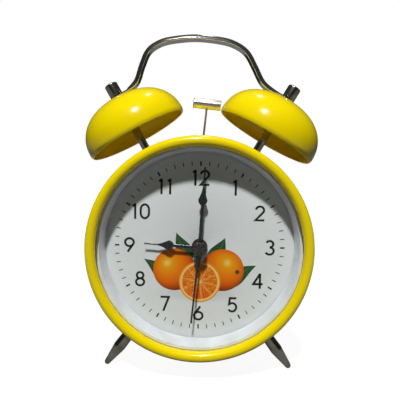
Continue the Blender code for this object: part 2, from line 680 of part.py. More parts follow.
CENTRE = (0.0, 0.0)
SET_X = math.sqrt(ALARM_CENTRES**2 - KNOB_DOWN**2)
ALARM_SET = (SET_X, -KNOB_DOWN)
TIME_SET = (-SET_X, -KNOB_DOWN)
MOTION_OFF = math.sqrt(MOTION_CENTRES**2 - (ALARM_CENTRES / 2)**2)
MOTION = (TIME_SET[0] / 2 + TIME_SET[1] / ALARM_CENTRES * MOTION_OFF,
          TIME_SET[1] / 2 - TIME_SET[0] / ALARM_CENTRES * MOTION_OFF)
THIRD = (0.0, TRAIN_CENTRES)
FIRST = (0.0, -FIRST_CENTRES)
ROTOR = (ROTOR_CENTRES * math.cos(math.radians(40)), -FIRST_CENTRES - ROTOR_CENTRES * math.sin(math.radians(40)))


def module_for(centres, teeth, other_teeth):
    return 2 * centres / (teeth + other_teeth)


def arbor(name, radius, front, rear, parent, look):
    return rod(name, radius, *slab(front, rear), parent, look, steps=12)


def running_train():
    """Rotor, intermediate wheel, seconds wheel, third wheel and minute wheel: 6:36, 6:30, 6:48 and 6:45."""
    pivot_front = PLATE_FRONT + GAP
    pivot_rear = LID_REAR - GAP
    fine = module_for(ROTOR_CENTRES, 6, 36)
    axis = axis_at("rotor_axis", ROTOR)
    rotor = arbor("rotor", ARBOR_R, pivot_front, pivot_rear, axis, GEAR_PLASTIC)
    join(rotor, gear("rotor_pinion", 6, fine, 0, *layer(FIRST_LAYER), axis),
         rod("rotor_magnet", MAGNET_R, *slab(ROTOR_FRONT, ROTOR_FRONT + 1.6 * MM), axis, steps=16))

    axis = axis_at("first_axis", FIRST)
    wheel_phase = meshed(0, 6, 36, ROTOR, FIRST)
    # The wheels of the hands pass in front of this arbor, so it is carried by the lid alone.
    first = arbor("intermediate_wheel", ARBOR_R, layer(SECOND_LAYER)[0] - 0.1 * MM, pivot_rear, axis, GEAR_PLASTIC)
    middle = module_for(FIRST_CENTRES, 6, 30)
    join(first, gear("first_gear", 36, fine, wheel_phase, *layer(FIRST_LAYER), axis),
         gear("first_pinion", 6, middle, 0, *layer(SECOND_LAYER), axis))

    axis = axis_at("second_axis", CENTRE)
    second = arbor("second_wheel", PIN_SECOND_R, SECOND_PIN_FRONT, pivot_rear, axis, GEAR_PLASTIC)
    third_module = module_for(TRAIN_CENTRES, 6, 48)
    join(second, gear("second_gear", 30, middle, meshed(0, 6, 30, FIRST, CENTRE), *layer(SECOND_LAYER), axis),
         gear("second_pinion", 6, third_module, 0, *layer(THIRD_LAYER), axis))

    axis = axis_at("third_axis", THIRD)
    third = arbor("third_wheel", ARBOR_R, pivot_front, pivot_rear, axis, GEAR_PLASTIC)
    minute_module = module_for(TRAIN_CENTRES, 6, 45)
    join(third, gear("third_gear", 48, third_module, meshed(0, 6, 48, CENTRE, THIRD), *layer(THIRD_LAYER), axis),
         gear("third_pinion", 6, minute_module, 0, *layer(MINUTE_LAYER), axis))

    axis = axis_at("minute_wheel_axis", CENTRE)
    gear("minute_wheel", 45, minute_module, meshed(0, 6, 45, THIRD, CENTRE), *layer(MINUTE_LAYER), axis,
         GEAR_PLASTIC, MINUTE_TUBE_R + GAP)


def sleeve(name, inner, outer, front, rear, axis, wheels):
    """A tube that carries its wheels, bored through afterwards."""
    made = arbor(name, outer, front, rear, axis, GEAR_PLASTIC)
    join(made, *wheels)
    cut(made, arbor(name + "_bore", inner, front - MM, rear + MM, axis, None))
    return made


def motion_work():
    """Minute tube, motion wheel and hour tube: 8:24 and 6:24, and the setting pinion with 8 teeth."""
    coarse = module_for(MOTION_CENTRES, 8, 24)
    hour_module = module_for(MOTION_CENTRES, 6, 24)
    axis = axis_at("minute_axis", CENTRE)
    sleeve("minute_tube", PIN_SECOND_R + GAP, MINUTE_TUBE_R, MINUTE_TUBE_FRONT, layer(MINUTE_LAYER)[1] + 0.2 * MM,
           axis, [gear("minute_pinion", 8, coarse, 0, *layer(MOTION_LAYER), axis)])

    axis = axis_at("motion_axis", MOTION)
    wheel_phase = meshed(0, 8, 24, CENTRE, MOTION)
    motion = arbor("motion_wheel", ARBOR_R, PLATE_FRONT + GAP, layer(MOTION_LAYER)[1] + 0.2 * MM, axis,
                   GEAR_PLASTIC)
    join(motion, gear("motion_gear", 24, coarse, wheel_phase, *layer(MOTION_LAYER), axis),
         gear("motion_pinion", 6, hour_module, 0, layer(HOUR_LAYER)[0], layer(MOTION_LAYER)[0] + 0.1 * MM, axis))

    axis = axis_at("hour_axis", CENTRE)
    sleeve("hour_wheel", MINUTE_TUBE_R + GAP, HOUR_TUBE_R, HOUR_TUBE_FRONT, layer(HOUR_LAYER)[1] + 0.1 * MM, axis,
           [gear("hour_gear", 24, hour_module, meshed(0, 6, 24, MOTION, CENTRE), *layer(HOUR_LAYER), axis)])

    axis = axis_at("time_set_axis", TIME_SET)
    setting = stem("time_set_stem", layer(MOTION_LAYER)[0], axis)
    join(setting, gear("time_set_pinion", 8, coarse, meshed(wheel_phase, 24, 8, MOTION, TIME_SET),
                       *layer(MOTION_LAYER), axis))
    knob("time_set_knob", axis)


def alarm_work():
    """The alarm tube and its setting stem: 18:30."""
    module = module_for(ALARM_CENTRES, 18, 30)
    axis = axis_at("alarm_axis", CENTRE)
    sleeve("alarm_wheel", HOUR_TUBE_R + GAP, ALARM_TUBE_R, ALARM_TUBE_FRONT, layer(ALARM_LAYER)[1] + 0.1 * MM,
           axis, [gear("alarm_gear", 30, module, meshed(0, 18, 30, ALARM_SET, CENTRE), *layer(ALARM_LAYER), axis)])
    axis = axis_at("alarm_set_axis", ALARM_SET)
    setting = stem("alarm_set_stem", layer(ALARM_LAYER)[0], axis)
    join(setting, gear("alarm_set_pinion", 18, module, 0, *layer(ALARM_LAYER), axis))
    knob("alarm_set_knob", axis)


def stem(name, front, axis):
    """A setting shaft from its pivot in the front plate to the middle of its knob."""
    pivot, shoulder, rear = PLATE_FRONT + GAP, front - 0.1 * MM, KNOB_FRONT + KNOB_SOCKET - GAP
    profile = [(0, -pivot), (ARBOR_R, -pivot), (ARBOR_R, -shoulder), (STEM_R, -shoulder), (STEM_R, -rear),
               (0, -rear)]
    return turned(name, profile, axis, WHITE, steps=14)


def knob(name, axis):
    """A fluted knob with a blind socket for its stem."""
    flutes, per_flute = 16, 4
    outline = []
    for k in range(flutes * per_flute):
        angle = TURN * k / (flutes * per_flute)
        radius = KNOB_R - KNOB_FLUTE * (0.5 + 0.5 * math.cos(flutes * angle))
        outline.append((radius * math.cos(angle), radius * math.sin(angle)))
    made = flat(name, [outline], *slab(KNOB_FRONT, KNOB_END), axis, BLACK_PLASTIC)
    cut(made, rod(name + "_socket", STEM_R + GAP, *slab(KNOB_FRONT - MM, KNOB_FRONT + KNOB_SOCKET), axis,
                  steps=14))
    return made


def movement_housing():
    """A tray with the threaded bush the hands turn in, and its flat lid."""
    left, right = -MOVEMENT_HALF_W, MOVEMENT_HALF_W
    tray = box("movement_front", (left, MOVEMENT_BOTTOM, GAP - LID_FRONT), (right, MOVEMENT_TOP, -PLATE_FRONT),
               dial_frame, BLACK_PLASTIC)
    join(tray, rod("bush", BUSH_R, *slab(BUSH_FRONT, PLATE_FRONT + PLATE_T / 2), dial_frame))
    cut(tray, box("tray_hollow", (left + PLATE_T, MOVEMENT_BOTTOM + PLATE_T, -LID_REAR),
                  (right - PLATE_T, MOVEMENT_TOP - PLATE_T, -PLATE_FRONT - PLATE_T), dial_frame),
        rod("bush_bore", ALARM_TUBE_R + GAP, *slab(BUSH_FRONT - MM, LAYER_A), dial_frame))
    lid = box("movement_rear", (left, MOVEMENT_BOTTOM, -LID_REAR), (right, MOVEMENT_TOP, -LID_FRONT), dial_frame,
              BLACK_PLASTIC)
    small = ARBOR_R + GAP
    large = STEM_R + GAP
    for name, spot in (("third", THIRD), ("rotor", ROTOR), ("motion", MOTION), ("time_set", TIME_SET),
                       ("alarm_set", ALARM_SET)):
        cut(tray, rod(name + "_front_hole", small, *slab(PLATE_FRONT - MM, LAYER_A), dial_frame,
                      location=(*spot, 0), steps=10))
    for name, spot, radius in (("centre", CENTRE, small), ("third", THIRD, small), ("first", FIRST, small),
                               ("rotor", ROTOR, small), ("time_set", TIME_SET, large),
                               ("alarm_set", ALARM_SET, large)):
        cut(lid, rod(name + "_rear_hole", radius, *slab(LID_FRONT - MM, LID_REAR + MM), dial_frame,
                     location=(*spot, 0), steps=12))


def electrics():
    """Stator plate with its coil, and the circuit board with its crystal."""
    bar = 2.0 * MM
    low = MOVEMENT_BOTTOM + PLATE_T + 1.7 * MM
    high = -10.6 * MM
    near, far = 2.6 * MM, MOVEMENT_HALF_W - PLATE_T - 0.5 * MM
    window_x = (9.5 * MM, far - 3.0 * MM)
    front = ROTOR_FRONT + 0.6 * MM
    rear = front + 0.6 * MM
    plate = [(near, low), (far, low), (far, high), (near, high)]
    window = [(window_x[0], low + bar), (window_x[1], low + bar), (window_x[1], high - bar - 0.6 * MM),
              (window_x[0], high - bar - 0.6 * MM)]
    flat("stator", [plate, window, circle(MAGNET_R + 0.4 * MM, 16, ROTOR)], *slab(front, rear), dial_frame, STEEL)
    middle_depth = (front + rear) / 2
    start, end = window_x[0] + 0.8 * MM, window_x[1] - 0.8 * MM
    middle = low + bar / 2
    coil = box("coil", (start, middle - 2.2 * MM, -middle_depth - MM), (end, middle + 2.2 * MM, MM - middle_depth),
               dial_frame, COPPER)
    cut(coil, box("coil_core", (start - MM, middle - bar / 2 - GAP, -rear - GAP),
                  (end + MM, middle + bar / 2 + GAP, GAP - front), dial_frame))
    board_left = PLATE_T + GAP - MOVEMENT_HALF_W
    board_top = MOVEMENT_TOP - PLATE_T - GAP
    box("circuit_board", (board_left, board_top - 16 * MM, -rear), (board_left + 17 * MM, board_top, -front),
        dial_frame, BOARD_GREEN)
    rod("crystal", CRYSTAL_R, -3 * MM, 3 * MM, dial_frame, STEEL,
        (board_left + 5 * MM, board_top - 4 * MM, GAP + CRYSTAL_R - front), (0, math.pi / 2, 0), 12)


# ---------------------------------------------------------------- hands
def hand_outline(size):
    """A spade hand pointing along +Y, with a round hub at the origin."""
    stem_half, tip_half, wide_half = size["stem"] / 2, size["tip"] / 2, size["wide"] / 2
    right = [(stem_half, size["start"]), (wide_half * 0.82, (size["start"] + size["wide_at"]) / 2),
             (wide_half, size["wide_at"])]
    for t in (0.3, 0.6, 1.0):
        right.append((tip_half + (wide_half - tip_half) * (1 - t)**1.6,
                      size["wide_at"] + (size["end"] - size["wide_at"]) * t))
    right.append((tip_half, size["length"]))
    lift = math.acos(stem_half / size["hub"])
    return arc(size["hub"], math.pi - lift, TURN + lift, 22) + right + [(-x, y) for x, y in reversed(right)]


def plain_outline(hub, root, tip, length):
    """A straight tapered hand with a round hub."""
    lift = math.acos(root / 2 / hub)
    return arc(hub, math.pi - lift, TURN + lift, 20) + [(tip / 2, length), (-tip / 2, length)]


def hands():
    """All four hands and the cap. Each turns with the tube or pin it is pressed on."""
    stack = (("alarm_hand", plain_outline(3.2 * MM, 3.4 * MM, 1.4 * MM, ALARM_LENGTH), ALARM_TUBE_R, ALARM_ANGLE,
              ALARM_HAND_AT),
             ("hour_hand", hand_outline(HOUR_HAND), HOUR_TUBE_R, HOUR_ANGLE, HOUR_HAND_AT),
             ("minute_hand", hand_outline(MINUTE_HAND), MINUTE_TUBE_R, MINUTE_ANGLE, MINUTE_HAND_AT),
             ("second_hand", plain_outline(2.0 * MM, 1.0 * MM, 0.8 * MM, SECOND_LENGTH), PIN_SECOND_R, SECOND_ANGLE,
              SECOND_HAND_AT))
    for name, outline, on, angle, front in stack:
        flat(name, [outline, circle(on + GAP, 16)], *slab(front, front + HAND_T), dial_frame, BLACK,
             rotation=(0, 0, -angle))
    edge = 0.25 * MM
    rear = SECOND_HAND_AT - GAP
    profile = [(0, -CAP_FRONT), (CAP_R - edge, -CAP_FRONT), (CAP_R, -CAP_FRONT - edge), (CAP_R, -rear), (0, -rear)]
    turned("hub_cap", profile, dial_frame, DARK_CHROME, steps=24)


# ---------------------------------------------------------------- back cover, battery and switch
def back_cover():
    """The moulded back: a disc with a locating skirt, the battery tray, the motor's ring and the openings."""
    skirt_out = DRUM_R - FLANGE - GAP
    skirt_in = skirt_out - TRAY_WALL
    skirt_front = COVER_FRONT - 5 * MM
    profile = [(0, -COVER_FRONT), (skirt_in, -COVER_FRONT), (skirt_in, -skirt_front), (skirt_out, -skirt_front),
               (skirt_out, -COVER_FRONT), (DRUM_R - 2 * MM, -COVER_FRONT), (DRUM_R - 2 * MM, 0.5 * MM - COVER_REAR),
               (DRUM_R - 2.5 * MM, -COVER_REAR), (0, -COVER_REAR)]
    cover = turned("back_cover", profile, dial_frame, BLACK_PLASTIC, steps=36)
    half_l, half_w = CELL_LENGTH / 2 + CONTACT_ROOM, CELL_R + 0.5 * MM
    floor = CELL_DEPTH - CELL_R - GAP
    inside = COVER_FRONT + COVER_T / 2
    tray = box("tray_block", (-half_l - TRAY_WALL, -CELL_DOWN - half_w - TRAY_WALL, -inside),
               (half_l + TRAY_WALL, half_w + TRAY_WALL - CELL_DOWN, TRAY_WALL - floor), dial_frame)
    ring = tube("motor_ring", MOTOR_R + GAP, MOTOR_R + GAP + TRAY_WALL, -inside, -MOTOR_FRONT - 6 * MM, dial_frame,
                location=(0, MOTOR_UP, 0))
    join(cover, tray, ring)
    pocket = box("battery_pocket", (-half_l, -CELL_DOWN - half_w, -COVER_REAR - MM),
                 (half_l, half_w - CELL_DOWN, -floor), dial_frame)
    neck_x, neck_z = SWITCH_NECK
    x, z = SWITCH_AT
    slot = box("switch_slot", (x - neck_x - GAP, z - neck_z - GAP, -COVER_REAR - MM),
               (x + neck_x + GAP, z + neck_z + SWITCH_TRAVEL + GAP, MM - COVER_FRONT), dial_frame)
    cut(cover, pocket, slot)
    for name, spot, radius in (("time_set", TIME_SET, STEM_R + 2 * GAP), ("alarm_set", ALARM_SET, STEM_R + 2 * GAP),
                               ("left_screw", (-SCREW_AT, 0), SCREW_R + GAP),
                               ("right_screw", (SCREW_AT, 0), SCREW_R + GAP)):
        cut(cover, rod(name + "_cover_hole", radius, *slab(COVER_FRONT - MM, COVER_REAR + MM), dial_frame,
                       location=(*spot, 0), steps=12))

    front, rear = COVER_REAR + 0.4 * MM - DOOR_T, COVER_REAR + 0.4 * MM
    door = box("battery_door", (GAP - half_l, GAP - CELL_DOWN - half_w, -rear),
               (half_l - GAP, half_w - CELL_DOWN - GAP, -front), dial_frame, BLACK_PLASTIC)
    lip = half_w - CELL_DOWN - 2 * MM
    join(door, box("door_tab", (-5 * MM, lip, -rear - 0.8 * MM), (5 * MM, lip + 1.2 * MM, -rear + 0.3 * MM),
                   dial_frame))

    for side, x in (("left", -SCREW_AT), ("right", SCREW_AT)):
        head = COVER_REAR + GAP
        tip = CASE_DEPTH - 3 * MM
        profile = [(0, -tip), (SCREW_R, -tip), (SCREW_R, -head), (2 * SCREW_R, -head), (2 * SCREW_R, -head - MM),
                   (0, -head - MM)]
        turned(side + "_back_screw", profile, dial_frame, STEEL, (x, 0, 0), steps=12)


def alarm_switch():
    """A slider: thumb pad outside, neck through the slot, keeper inside."""
    neck_x, neck_z = SWITCH_NECK
    x, z = SWITCH_AT
    pad_front = COVER_REAR + GAP
    slider = box("alarm_switch", (x - 3.5 * MM, z - 3.5 * MM, -pad_front - 2.2 * MM),
                 (x + 3.5 * MM, z + 3.5 * MM, -pad_front), dial_frame, BLACK_PLASTIC)
    keeper = COVER_FRONT - GAP
    join(slider, box("switch_neck", (x - neck_x, z - neck_z, -pad_front - MM), (x + neck_x, z + neck_z, -keeper + MM),
                     dial_frame),
         box("switch_keeper", (x - 3.2 * MM, z - 3.2 * MM, -keeper), (x + 3.2 * MM, z + 3.2 * MM, 1.2 * MM - keeper),
             dial_frame))


def battery():
    """One AA cell between a plate contact and a conical spring."""
    at = (0, -CELL_DOWN, -CELL_DEPTH)
    sideways = (0, math.pi / 2, 0)
    half = CELL_LENGTH / 2
    nub = 1.3 * MM
    edge = 0.5 * MM
    profile = [(0, half), (2.7 * MM, half), (2.7 * MM, half - nub), (CELL_R - edge, half - nub),
               (CELL_R, half - nub - edge), (CELL_R, edge - half), (CELL_R - edge, -half), (0, -half)]
    turned("battery_cell", profile, dial_frame, CELL_WRAP, at, sideways, 24)
    room = CONTACT_ROOM - GAP
    plate = box("positive_contact", (half + room - 0.5 * MM, -4 * MM, -4 * MM), (half + room, 4 * MM, 4 * MM),
                dial_frame, STEEL, at)
    join(plate, rod("positive_boss", 2.6 * MM, half + GAP, half + room - 0.2 * MM, dial_frame, location=at,
                    rotation=sideways, steps=12))

    curve = bpy.data.curves.new("negative_contact", "CURVE")
    curve.dimensions = "3D"
    curve.bevel_depth = SPRING_WIRE_R
    curve.bevel_resolution = 2
    curve.use_fill_caps = True
    turns, per_turn = 2, 9
    count = int(turns * per_turn)
    spline = curve.splines.new("POLY")
    spline.points.add(count)
    for i, point in enumerate(spline.points):
        t = i / count
        radius = (2.2 + 1.6 * t) * MM
        along = -half - SPRING_WIRE_R - GAP - t * (room - 2 * SPRING_WIRE_R)
        point.co = (along, radius * math.cos(TURN * turns * t), radius * math.sin(TURN * turns * t), 1)
    place("negative_contact", curve, dial_frame, at, look=STEEL)


# ---------------------------------------------------------------- the clock
shell = case_shell()
front_bezel()
front_lens()
dial_ring()
dial_plate()
dial_nut()
stud_frames = [bell_side("left", -BELL_LEAN), bell_side("right", BELL_LEAN),
               front_foot("left", FOOT_SPREAD - math.pi), front_foot("right", math.pi - FOOT_SPREAD), rear_foot()]
drill_case(shell, stud_frames)
handle()
hammer()
bell_motor()
movement_housing()
electrics()
running_train()
motion_work()
alarm_work()
hands()
back_cover()
alarm_switch()
battery()
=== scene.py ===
# %% [markdown]
# # A yellow twin-bell alarm clock, from its mechanical model to a finished picture
# The mechanical model arrives with every piece in its place and at its real size. It is a working model:
# its round pieces have few facets and its colours are plain. This lesson keeps it as a fixed frame and builds
# the surfaces that the eye sees round it: enamelled steel, chrome, printed paper, clear plastic.

# %% Load the mechanical model
import json
import math

import bmesh
import bpy
import numpy as np
from mathutils import Matrix, Vector


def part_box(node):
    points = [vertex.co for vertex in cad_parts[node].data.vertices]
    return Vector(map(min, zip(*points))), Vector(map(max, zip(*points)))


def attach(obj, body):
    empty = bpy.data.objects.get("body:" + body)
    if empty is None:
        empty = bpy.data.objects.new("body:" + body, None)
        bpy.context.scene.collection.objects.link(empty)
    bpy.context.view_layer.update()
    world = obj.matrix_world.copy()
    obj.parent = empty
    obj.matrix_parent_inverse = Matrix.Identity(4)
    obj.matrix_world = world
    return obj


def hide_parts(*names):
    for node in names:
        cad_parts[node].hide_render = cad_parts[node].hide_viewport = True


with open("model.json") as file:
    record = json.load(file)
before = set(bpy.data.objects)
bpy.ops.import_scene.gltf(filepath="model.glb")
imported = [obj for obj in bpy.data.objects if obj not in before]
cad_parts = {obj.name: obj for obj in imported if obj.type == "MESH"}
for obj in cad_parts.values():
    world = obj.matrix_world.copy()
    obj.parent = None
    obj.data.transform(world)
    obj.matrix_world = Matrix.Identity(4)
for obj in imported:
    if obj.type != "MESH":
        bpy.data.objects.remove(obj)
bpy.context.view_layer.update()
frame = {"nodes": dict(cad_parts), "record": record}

MM = 0.001

# %% [markdown]
# ## Where things are
# Nearly everything on this clock is round about one line: the one through the middle of the dial. The rest
# leans out from that line like the petals of a flower. So three numbers place almost every piece: the
# height of the dial's centre, the depth of the rim's front, and the depth of the plane of bells and feet.


# %% Places read from the model
def middle(node):
    low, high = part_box(node)
    return (low + high) / 2


rim_low, rim_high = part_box("front_bezel")
CENTRE_Z = (rim_low.z + rim_high.z) / 2
RIM_R = (rim_high.x - rim_low.x) / 2
FRONT = rim_low.y
DIAL_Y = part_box("dial_plate")[0].y
BELL_Y = middle("left_bell_nut").y
DIAL_CENTRE = np.array((0, FRONT, CENTRE_Z))
BELL_CENTRE = np.array((0, BELL_Y, CENTRE_Z))
BACKWARDS = np.array((0, 1, 0))
BELL_LEAN = math.radians(30)
print(f"dial centre {CENTRE_Z / MM:.2f} mm up, rim radius {RIM_R / MM:.2f} mm")


def depth_of(y):
    """Distance behind the rim's front."""
    return y - FRONT


# %% [markdown]
# ## Surfaces from arrays
# A turned piece, a strap, a tube and a watch hand are all the same idea: a surface with two parameters.
# If its points are computed as one array of rows and columns, the faces follow by joining neighbours.
# One function does that joining for the whole lesson, closes the seam and merges the points at a pole.


# %% From an array of points to a mesh
def skin(name, *patches, around=True, along=False, marked=False):
    """Each patch is a rows x columns x 3 array. A face joins the point (i, j) with its neighbours in the next
    row and column; around joins the last column to the first, along the last row to the first. With marked,
    every point keeps its share of the way along the rows and across the columns, for the material."""
    points, faces, shares, count = [], [], [], 0
    for patch in patches:
        rows, columns = patch.shape[:2]
        number = np.arange(rows * columns).reshape(rows, columns) + count
        count += rows * columns
        if along:
            number = np.vstack([number, number[:1]])
        if around:
            number = np.hstack([number, number[:, :1]])
        corners = (number[:-1, :-1], number[:-1, 1:], number[1:, 1:], number[1:, :-1])
        faces.append(np.stack(corners, axis=-1).reshape(-1, 4))
        points.append(patch.reshape(-1, 3))
        shares.append(np.stack(np.mgrid[0:1:rows * 1j, -1:1:columns * 1j], axis=-1).reshape(-1, 2))
    mesh = bpy.data.meshes.new(name)
    mesh.from_pydata(np.concatenate(points).tolist(), [], np.concatenate(faces).tolist())
    if marked:
        for label, share in zip(("share_along", "share_across"), np.concatenate(shares).T):
            mesh.attributes.new(label, "FLOAT", "POINT").data.foreach_set("value", share.astype(np.float32))
    work = bmesh.new()
    work.from_mesh(mesh)
    bmesh.ops.remove_doubles(work, verts=work.verts, dist=1e-7)
    bmesh.ops.recalc_face_normals(work, faces=work.faces)
    work.to_mesh(mesh)
    work.free()
    return mesh


def joined(mesh, *others):
    """Puts the faces of other meshes into a mesh, and removes them."""
    work = bmesh.new()
    work.from_mesh(mesh)
    for other in others:
        work.from_mesh(other)
    work.to_mesh(mesh)
    work.free()
    for other in others:
        bpy.data.meshes.remove(other)
    return mesh


def add(name, mesh, finish, body, slot, *nodes, crease=40):
    """Shows a mesh as a piece with a finish, riding on a body and standing for mechanical nodes."""
    mesh.shade_smooth()
    mesh.set_sharp_from_angle(angle=math.radians(crease))
    mesh.materials.append(finish)
    made = bpy.data.objects.new(name, mesh)
    bpy.context.scene.collection.objects.link(made)
    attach(made, body)
    if nodes:
        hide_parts(*nodes)
    print(f"{name}: {len(mesh.polygons)} faces on {body}")
    return made


# %% [markdown]
# ## Turning, rounding and walls
# A lathe needs a profile, which is a short list of radii and heights. Real edges are never sharp, so the
# corners of a profile are rounded before it is turned. Sheet metal is a line with a second line beside it.


# %% Profiles and turned pieces
def rounded(corners, radius, steps=5, closed=False):
    """Straight lines through the corners, each one rounded: the curve leaves its line a radius before the
    corner and meets the next line as far behind it, on a parabola. A corner never takes over half a side."""
    corners = np.array(corners, float)
    before, after = np.roll(corners, 1, axis=0), np.roll(corners, -1, axis=0)
    radii = np.broadcast_to(np.array(radius, float), len(corners))[:, None]

    def leave(other):
        side = other - corners
        length = np.linalg.norm(side, axis=1, keepdims=True)
        return corners + side / np.maximum(length, 1e-12) * np.minimum(radii, length / 2)

    t = np.linspace(0, 1, steps)[None, :, None]
    start, end = leave(before)[:, None], leave(after)[:, None]
    curve = (1 - t)**2 * start + 2 * t * (1 - t) * corners[:, None] + t**2 * end
    if closed:
        return curve.reshape(-1, 2)
    return np.concatenate([corners[:1], curve[1:-1].reshape(-1, 2), corners[-1:]])


def across_of(direction):
    """Two unit vectors square to a direction and to each other."""
    direction = np.array(direction, float) / np.linalg.norm(direction)
    helper = np.array((1, 0, 0)) if abs(direction[0]) < 0.8 else np.array((0, 0, 1))
    first = np.cross(helper, direction)
    first /= np.linalg.norm(first)
    return direction, first, np.cross(direction, first)


def lathe(profile, origin, direction, steps=160):
    """Points at origin + height * direction + radius * (cos angle * first + sin angle * second)."""
    profile = np.array(profile, float)
    direction, first, second = across_of(direction)
    angle = np.linspace(0, 2 * np.pi, steps, endpoint=False)[None, :, None]
    spokes = np.cos(angle) * first + np.sin(angle) * second
    return np.array(origin) + profile[:, 1, None, None] * direction + profile[:, 0, None, None] * spokes


def turned(name, profile, origin, direction, steps=160, closed=False):
    return skin(name, lathe(profile, origin, direction, steps), along=closed)


def add_turned(name, profile, place, look, *nodes, steps=160, closed=False):
    """A turned piece. Place is the profile's origin and axis; look is its finish, body and slot, and the slot
    is not used.
    """
    return add(name, turned(name, profile, *place, steps, closed), *look, *nodes)


def walled(line, wall):
    """A wall beside a profile line: the line, a half round at its end, and the line again, moved sideways by
    the wall along its normals and run backwards."""
    line = np.array(line, float)
    tangent = np.gradient(line, axis=0)
    tangent /= np.linalg.norm(tangent, axis=1, keepdims=True)
    inner = line + np.stack([tangent[:, 1], -tangent[:, 0]], axis=1) * wall
    turn = np.linspace(0, np.pi, 9)[1:-1, None]
    centre, reach = (line[-1] + inner[-1]) / 2, (line[-1] - inner[-1]) / 2
    nose = centre + np.cos(turn) * reach + np.sin(turn) * tangent[-1] * wall / 2
    return np.concatenate([line, nose, inner[::-1]])


def lean(angle):
    """A direction in the plane of the bells, leaning to the right of straight up."""
    return np.array((math.sin(angle), 0, math.cos(angle)))


# %% [markdown]
# ## Shader maths that reads like maths
# A material here is a formula over the surface. Node trees hide formulas, so one small class wraps an
# output socket: adding, multiplying or comparing wrapped sockets adds the Math nodes for it. Any other node
# comes from one method, which takes the node's type, its settings and what goes into its sockets.


# %% A wrapped socket and a node sheet
class Wire:
    """An output socket that can be used in a formula."""

    def __init__(self, socket):
        self.socket = socket

    def sum_of(self, operation, *values):
        node = self.socket.id_data.nodes.new("ShaderNodeMath")
        node.operation = operation
        for slot, value in zip(node.inputs, values):
            plug(slot, value)
        return Wire(node.outputs[0])

    def __add__(self, other):
        return self.sum_of("ADD", self, other)

    def __radd__(self, other):
        return self.sum_of("ADD", other, self)

    def __sub__(self, other):
        return self.sum_of("SUBTRACT", self, other)

    def __rsub__(self, other):
        return self.sum_of("SUBTRACT", other, self)

    def __mul__(self, other):
        return self.sum_of("MULTIPLY", self, other)

    def __rmul__(self, other):
        return self.sum_of("MULTIPLY", other, self)

    def __truediv__(self, other):
        return self.sum_of("DIVIDE", self, other)

    def __pow__(self, other):
        return self.sum_of("POWER", self, other)

    def __gt__(self, other):
        return self.sum_of("GREATER_THAN", self, other)

    def __lt__(self, other):
        return self.sum_of("LESS_THAN", self, other)


def plug(slot, value):
    """Links a wire into an input, or sets a plain value on it."""
    if isinstance(value, Wire):
        slot.id_data.links.new(value.socket, slot)
    else:
        slot.default_value = value


class Sheet:
    """The nodes of one material or world."""

    def __init__(self, tree):
        self.tree = tree

    def node(self, kind, settings=(), sockets=(), out=0):
        made = self.tree.nodes.new(kind)
        for key, value in dict(settings).items():
            if key == "stops":
                while len(made.color_ramp.elements) < len(value):
                    made.color_ramp.elements.new(1.0)
                for element, (position, colour) in zip(made.color_ramp.elements, value):
                    element.position = position
                    element.color = (*colour, 1)
            else:
                setattr(made, key, value)
        for key, value in dict(sockets).items():
            plug(made.inputs[key], value)
        return Wire(made.outputs[out])

    def spot(self, centre=(0, 0, 0)):
        """The point on the surface, from a centre of its own."""
        place = self.node("ShaderNodeTexCoord", out="Object")
        return self.node("ShaderNodeMapping", {"vector_type": "POINT"},
                         {"Vector": place, "Location": [-c for c in centre]})

    def split(self, vector, axes):
        """The named ones of the vector's three parts, such as "XZ"."""
        return [self.node("ShaderNodeSeparateXYZ", (), {0: vector}, out=axis) for axis in axes]

    def noise(self, scale, detail=2.0, vector=None):
        """Soft noise with so many waves in a metre."""
        vector = vector or self.node("ShaderNodeTexCoord", out="Object")
        return self.node("ShaderNodeTexNoise", (), {"Vector": vector, "Scale": scale, "Detail": detail})

    def mixed(self, share, first, second):
        """The first colour where the share is 0, and the second where it is 1."""
        first, second = [(*c, 1) if isinstance(c, tuple) else c for c in (first, second)]
        return self.node("ShaderNodeMix", {"data_type": "RGBA"}, {0: share, 6: first, 7: second}, out=2)

    def smooth(self, value, low, high):
        """0 below low, 1 above high, and an S between."""
        return self.node("ShaderNodeMapRange", {"interpolation_type": "SMOOTHSTEP"},
                         {"Value": value, "From Min": low, "From Max": high})

    def bump(self, height, distance, strength=1.0):
        return self.node("ShaderNodeBump", (), {"Height": height, "Distance": distance, "Strength": strength})


class Finish(Sheet):
    """A material with one Principled shader. Set sockets by their names, with _ for a space."""

    def __init__(self, name, **sockets):
        self.material = bpy.data.materials.new(name)
        self.material.use_nodes = True
        super().__init__(self.material.node_tree)
        self.shader = self.tree.nodes["Principled BSDF"]
        self.set(**sockets)

    def set(self, **sockets):
        for name, value in sockets.items():
            value = (*value, 1) if name in ("Base_Color", "Emission_Color", "Specular_Tint") and isinstance(
                value, tuple) else value
            plug(self.shader.inputs[name.replace("_", " ")], value)
        return self.material


# %% [markdown]
# ## Yellow stove enamel
# The case and bells are pressed steel, sprayed and baked. Such enamel is a smooth, thick, glossy coat: the
# colour is almost even, deeper where it ran thick, and its gloss has the faint waviness called orange peel.
# A clear coat over a coloured base gives its two reflections.


# %% Enamel
def enamel():
    made = Finish("yellow_enamel", Specular_IOR_Level=0.15, Coat_Weight=0.5, Coat_Roughness=0.07)
    drift = made.noise(45, 2)
    speck = made.smooth(made.noise(2600, 1), 0.70, 0.78)
    colour = made.mixed(drift, (0.90, 0.70, 0.0), (0.84, 0.66, 0.0))
    colour = made.mixed(speck * 0.25, colour, (0.55, 0.42, 0.0))
    made.set(Base_Color=colour, Roughness=0.17 + drift * 0.08)
    peel = made.noise(900, 1) + made.noise(260, 0) * 2
    return made.set(Normal=made.bump(peel, 0.000012, 0.6))


ENAMEL = enamel()

